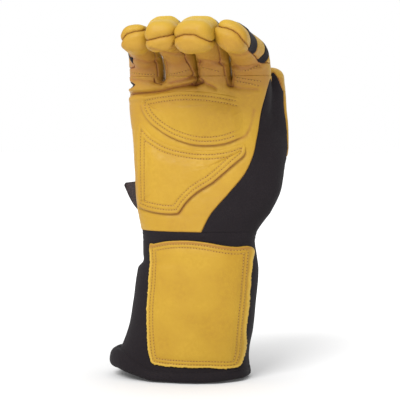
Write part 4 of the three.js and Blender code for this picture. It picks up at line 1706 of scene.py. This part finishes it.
def add_pull_tab():
    """A folded piece of tape that stands out of the ulnar seam."""
    outline = np.array(PULL_TAB, float)
    across = np.linspace(0, 1, TAB_COLUMNS)
    top = np.stack([np.interp(across, (0, TAB_CORNER, 1), outline[[0, 1, 2], i])
                    for i in range(2)], axis=1)
    bottom = np.stack([np.interp(across, (0, 1), outline[[0, 3], i])
                       for i in range(2)], axis=1)
    bottom[:, 1] -= TAB_SAG * np.sin(math.pi * across)
    rows = []
    for share in np.linspace(0, 1, TAB_ROWS):
        line = bottom + (top - bottom) * share
        y = np.full(TAB_COLUMNS, TAB_Y - TAB_RIB * np.sin(share * TAB_RIB_TURN))
        rows.append(np.stack([line[:, 0], y, line[:, 1]], axis=1))
    points = np.vstack(rows)
    table = plain_table(points, np.tile([0.0, -1.0, 0.0], (len(points), 1)))
    faces = grid_faces(TAB_ROWS, TAB_COLUMNS, close_columns=False)
    points, faces = thicken(table, faces, np.zeros(len(points)), TAB_THICKNESS)
    make_piece("pull_tab_tape", points, faces, TAPE, ["pull_tab"])


# Floor, light and camera, in metres

WHITE = (1.0, 1.0, 1.0, 1.0)
FLOOR_HALF = 6.0
FLOOR_HEIGHT = 0.0018
FLOOR_COLOUR = (0.73, 0.73, 0.73, 1.0)
FLOOR_ROUGHNESS = 0.95
FLOOR_GLOW = 0.60
GLOW_REACH = (-0.05, 0.45)  # the floor glows more and more this far from the glove


def add_math(tree, operation, first, *others):
    """A maths node on a link and further links or numbers."""
    node = add_node(tree, "ShaderNodeMath", operation=operation)
    tree.links.new(first, node.inputs[0])
    for socket, value in zip(list(node.inputs)[1:], others):
        if isinstance(value, float):
            socket.default_value = value
        else:
            tree.links.new(value, socket)
    return node.outputs["Value"]


def add_floor():
    mesh = bpy.data.meshes.new("floor")
    corners = [(-1, -1), (1, -1), (1, 1), (-1, 1)]
    mesh.from_pydata([(x * FLOOR_HALF, y * FLOOR_HALF, 0) for x, y in corners],
                     [], [(0, 1, 2, 3)])
    floor = add_object("floor", mesh)
    floor.location.z = FLOOR_HEIGHT
    material, tree, shader = new_material("pale_floor", Roughness=FLOOR_ROUGHNESS,
                                          Base_Color=FLOOR_COLOUR, Specular_IOR_Level=0.0,
                                          Emission_Color=WHITE)
    place = tree.nodes.new("ShaderNodeTexCoord").outputs["Object"]
    length = add_node(tree, "ShaderNodeVectorMath", operation="LENGTH")
    tree.links.new(place, length.inputs[0])
    far = ramp(tree, length.outputs["Value"], *GLOW_REACH)
    glow = add_math(tree, "MULTIPLY", far, FLOOR_GLOW)
    tree.links.new(glow, shader.inputs["Emission Strength"])
    mesh.materials.append(material)


KEY_PLACE = Vector((-0.35, -1.35, 1.25))
KEY_TARGET = Vector((0.01, -0.03, 0.12))
KEY_SIZE = 0.9
KEY_POWER = 27.0
AMBIENT = 0.54

# The studio is white where a direction points this far behind the glove, or above it
BEHIND = (0.2, 0.8)
ABOVE = (0.35, 0.9)


def add_key_light():
    light = bpy.data.lights.new("key", "AREA")
    light.shape = "DISK"
    light.size = KEY_SIZE
    light.energy = KEY_POWER
    lamp = add_object("key", light)
    lamp.location = KEY_PLACE
    lamp.rotation_euler = (KEY_TARGET - KEY_PLACE).to_track_quat("-Z", "Y").to_euler()


def add_studio():
    world = bpy.data.worlds.new("studio")
    world.use_nodes = True
    tree = world.node_tree
    background = tree.nodes["Background"]
    background.inputs["Color"].default_value = WHITE
    direction = tree.nodes.new("ShaderNodeTexCoord").outputs["Generated"]
    parts = tree.nodes.new("ShaderNodeSeparateXYZ")
    tree.links.new(direction, parts.inputs["Vector"])
    behind = ramp(tree, parts.outputs["Y"], *BEHIND)
    above = ramp(tree, parts.outputs["Z"], *ABOVE)
    white = add_math(tree, "MAXIMUM", behind, above)
    strength = add_math(tree, "MULTIPLY_ADD", white, 1.0 - AMBIENT, AMBIENT)
    tree.links.new(strength, background.inputs["Strength"])
    bpy.context.scene.world = world
    bpy.context.scene.view_settings.view_transform = "Standard"


CAMERA_AZIMUTH = math.radians(12.0)
CAMERA_ELEVATION = math.radians(3.5)
CAMERA_DISTANCE = 0.9
CAMERA_TARGET = Vector((0.0120, 0.0, 0.126))
VIEW_WIDTH = 0.28
SENSOR_WIDTH = 36.0


def add_camera():
    data = bpy.data.cameras.new("camera")
    data.sensor_width = SENSOR_WIDTH
    data.lens = SENSOR_WIDTH * CAMERA_DISTANCE / VIEW_WIDTH
    camera = add_object("camera", data)
    back = Vector((math.sin(CAMERA_AZIMUTH) * math.cos(CAMERA_ELEVATION),
                   -math.cos(CAMERA_AZIMUTH) * math.cos(CAMERA_ELEVATION),
                   math.sin(CAMERA_ELEVATION)))
    camera.location = CAMERA_TARGET + back * CAMERA_DISTANCE
    camera.rotation_euler = (-back).to_track_quat("-Z", "Y").to_euler()
    bpy.context.scene.camera = camera


# The upper pad ends in the seam at its radial side: its last stitch, and where it thins out
UPPER_PAD_LAST_STITCH = 40.0
UPPER_PAD_FADE = (37.0, 48.0)


def main():
    add_camera()
    add_key_light()
    add_studio()
    add_floor()
    for digit in [*DIGITS.values(), THUMB]:
        digit["line"] = centre_line(digit)
    hand = build_hand()
    crotches, palm_skin = add_hand(hand)
    fingers = [add_finger(name, number) for number, name in enumerate(FINGER_NAMES)]
    add_gussets(crotches, [strips for strips, _ in fingers])
    leather = merge_skins([palm_skin] + [front for _, front in fingers])
    for row in FINGER_ROWS:
        STITCHES.add_rows(*leather, spline(row, 6))
    add_pad("palm_pad_upper", hand, UPPER_PAD, PAD_ROWS, PAD_THICKNESS,
            most_x=UPPER_PAD_LAST_STITCH, fade=UPPER_PAD_FADE)
    add_pad("palm_pad_lower", hand, LOWER_PAD, PAD_ROWS, PAD_THICKNESS)
    add_pad("knuckle_guard", hand, KNUCKLE_GUARD, PAD_ROWS[:1], GUARD_THICKNESS,
            front=False, flush_top=False)
    add_cuff()
    add_pull_tab()
    STITCHES.make("stitching")


main()
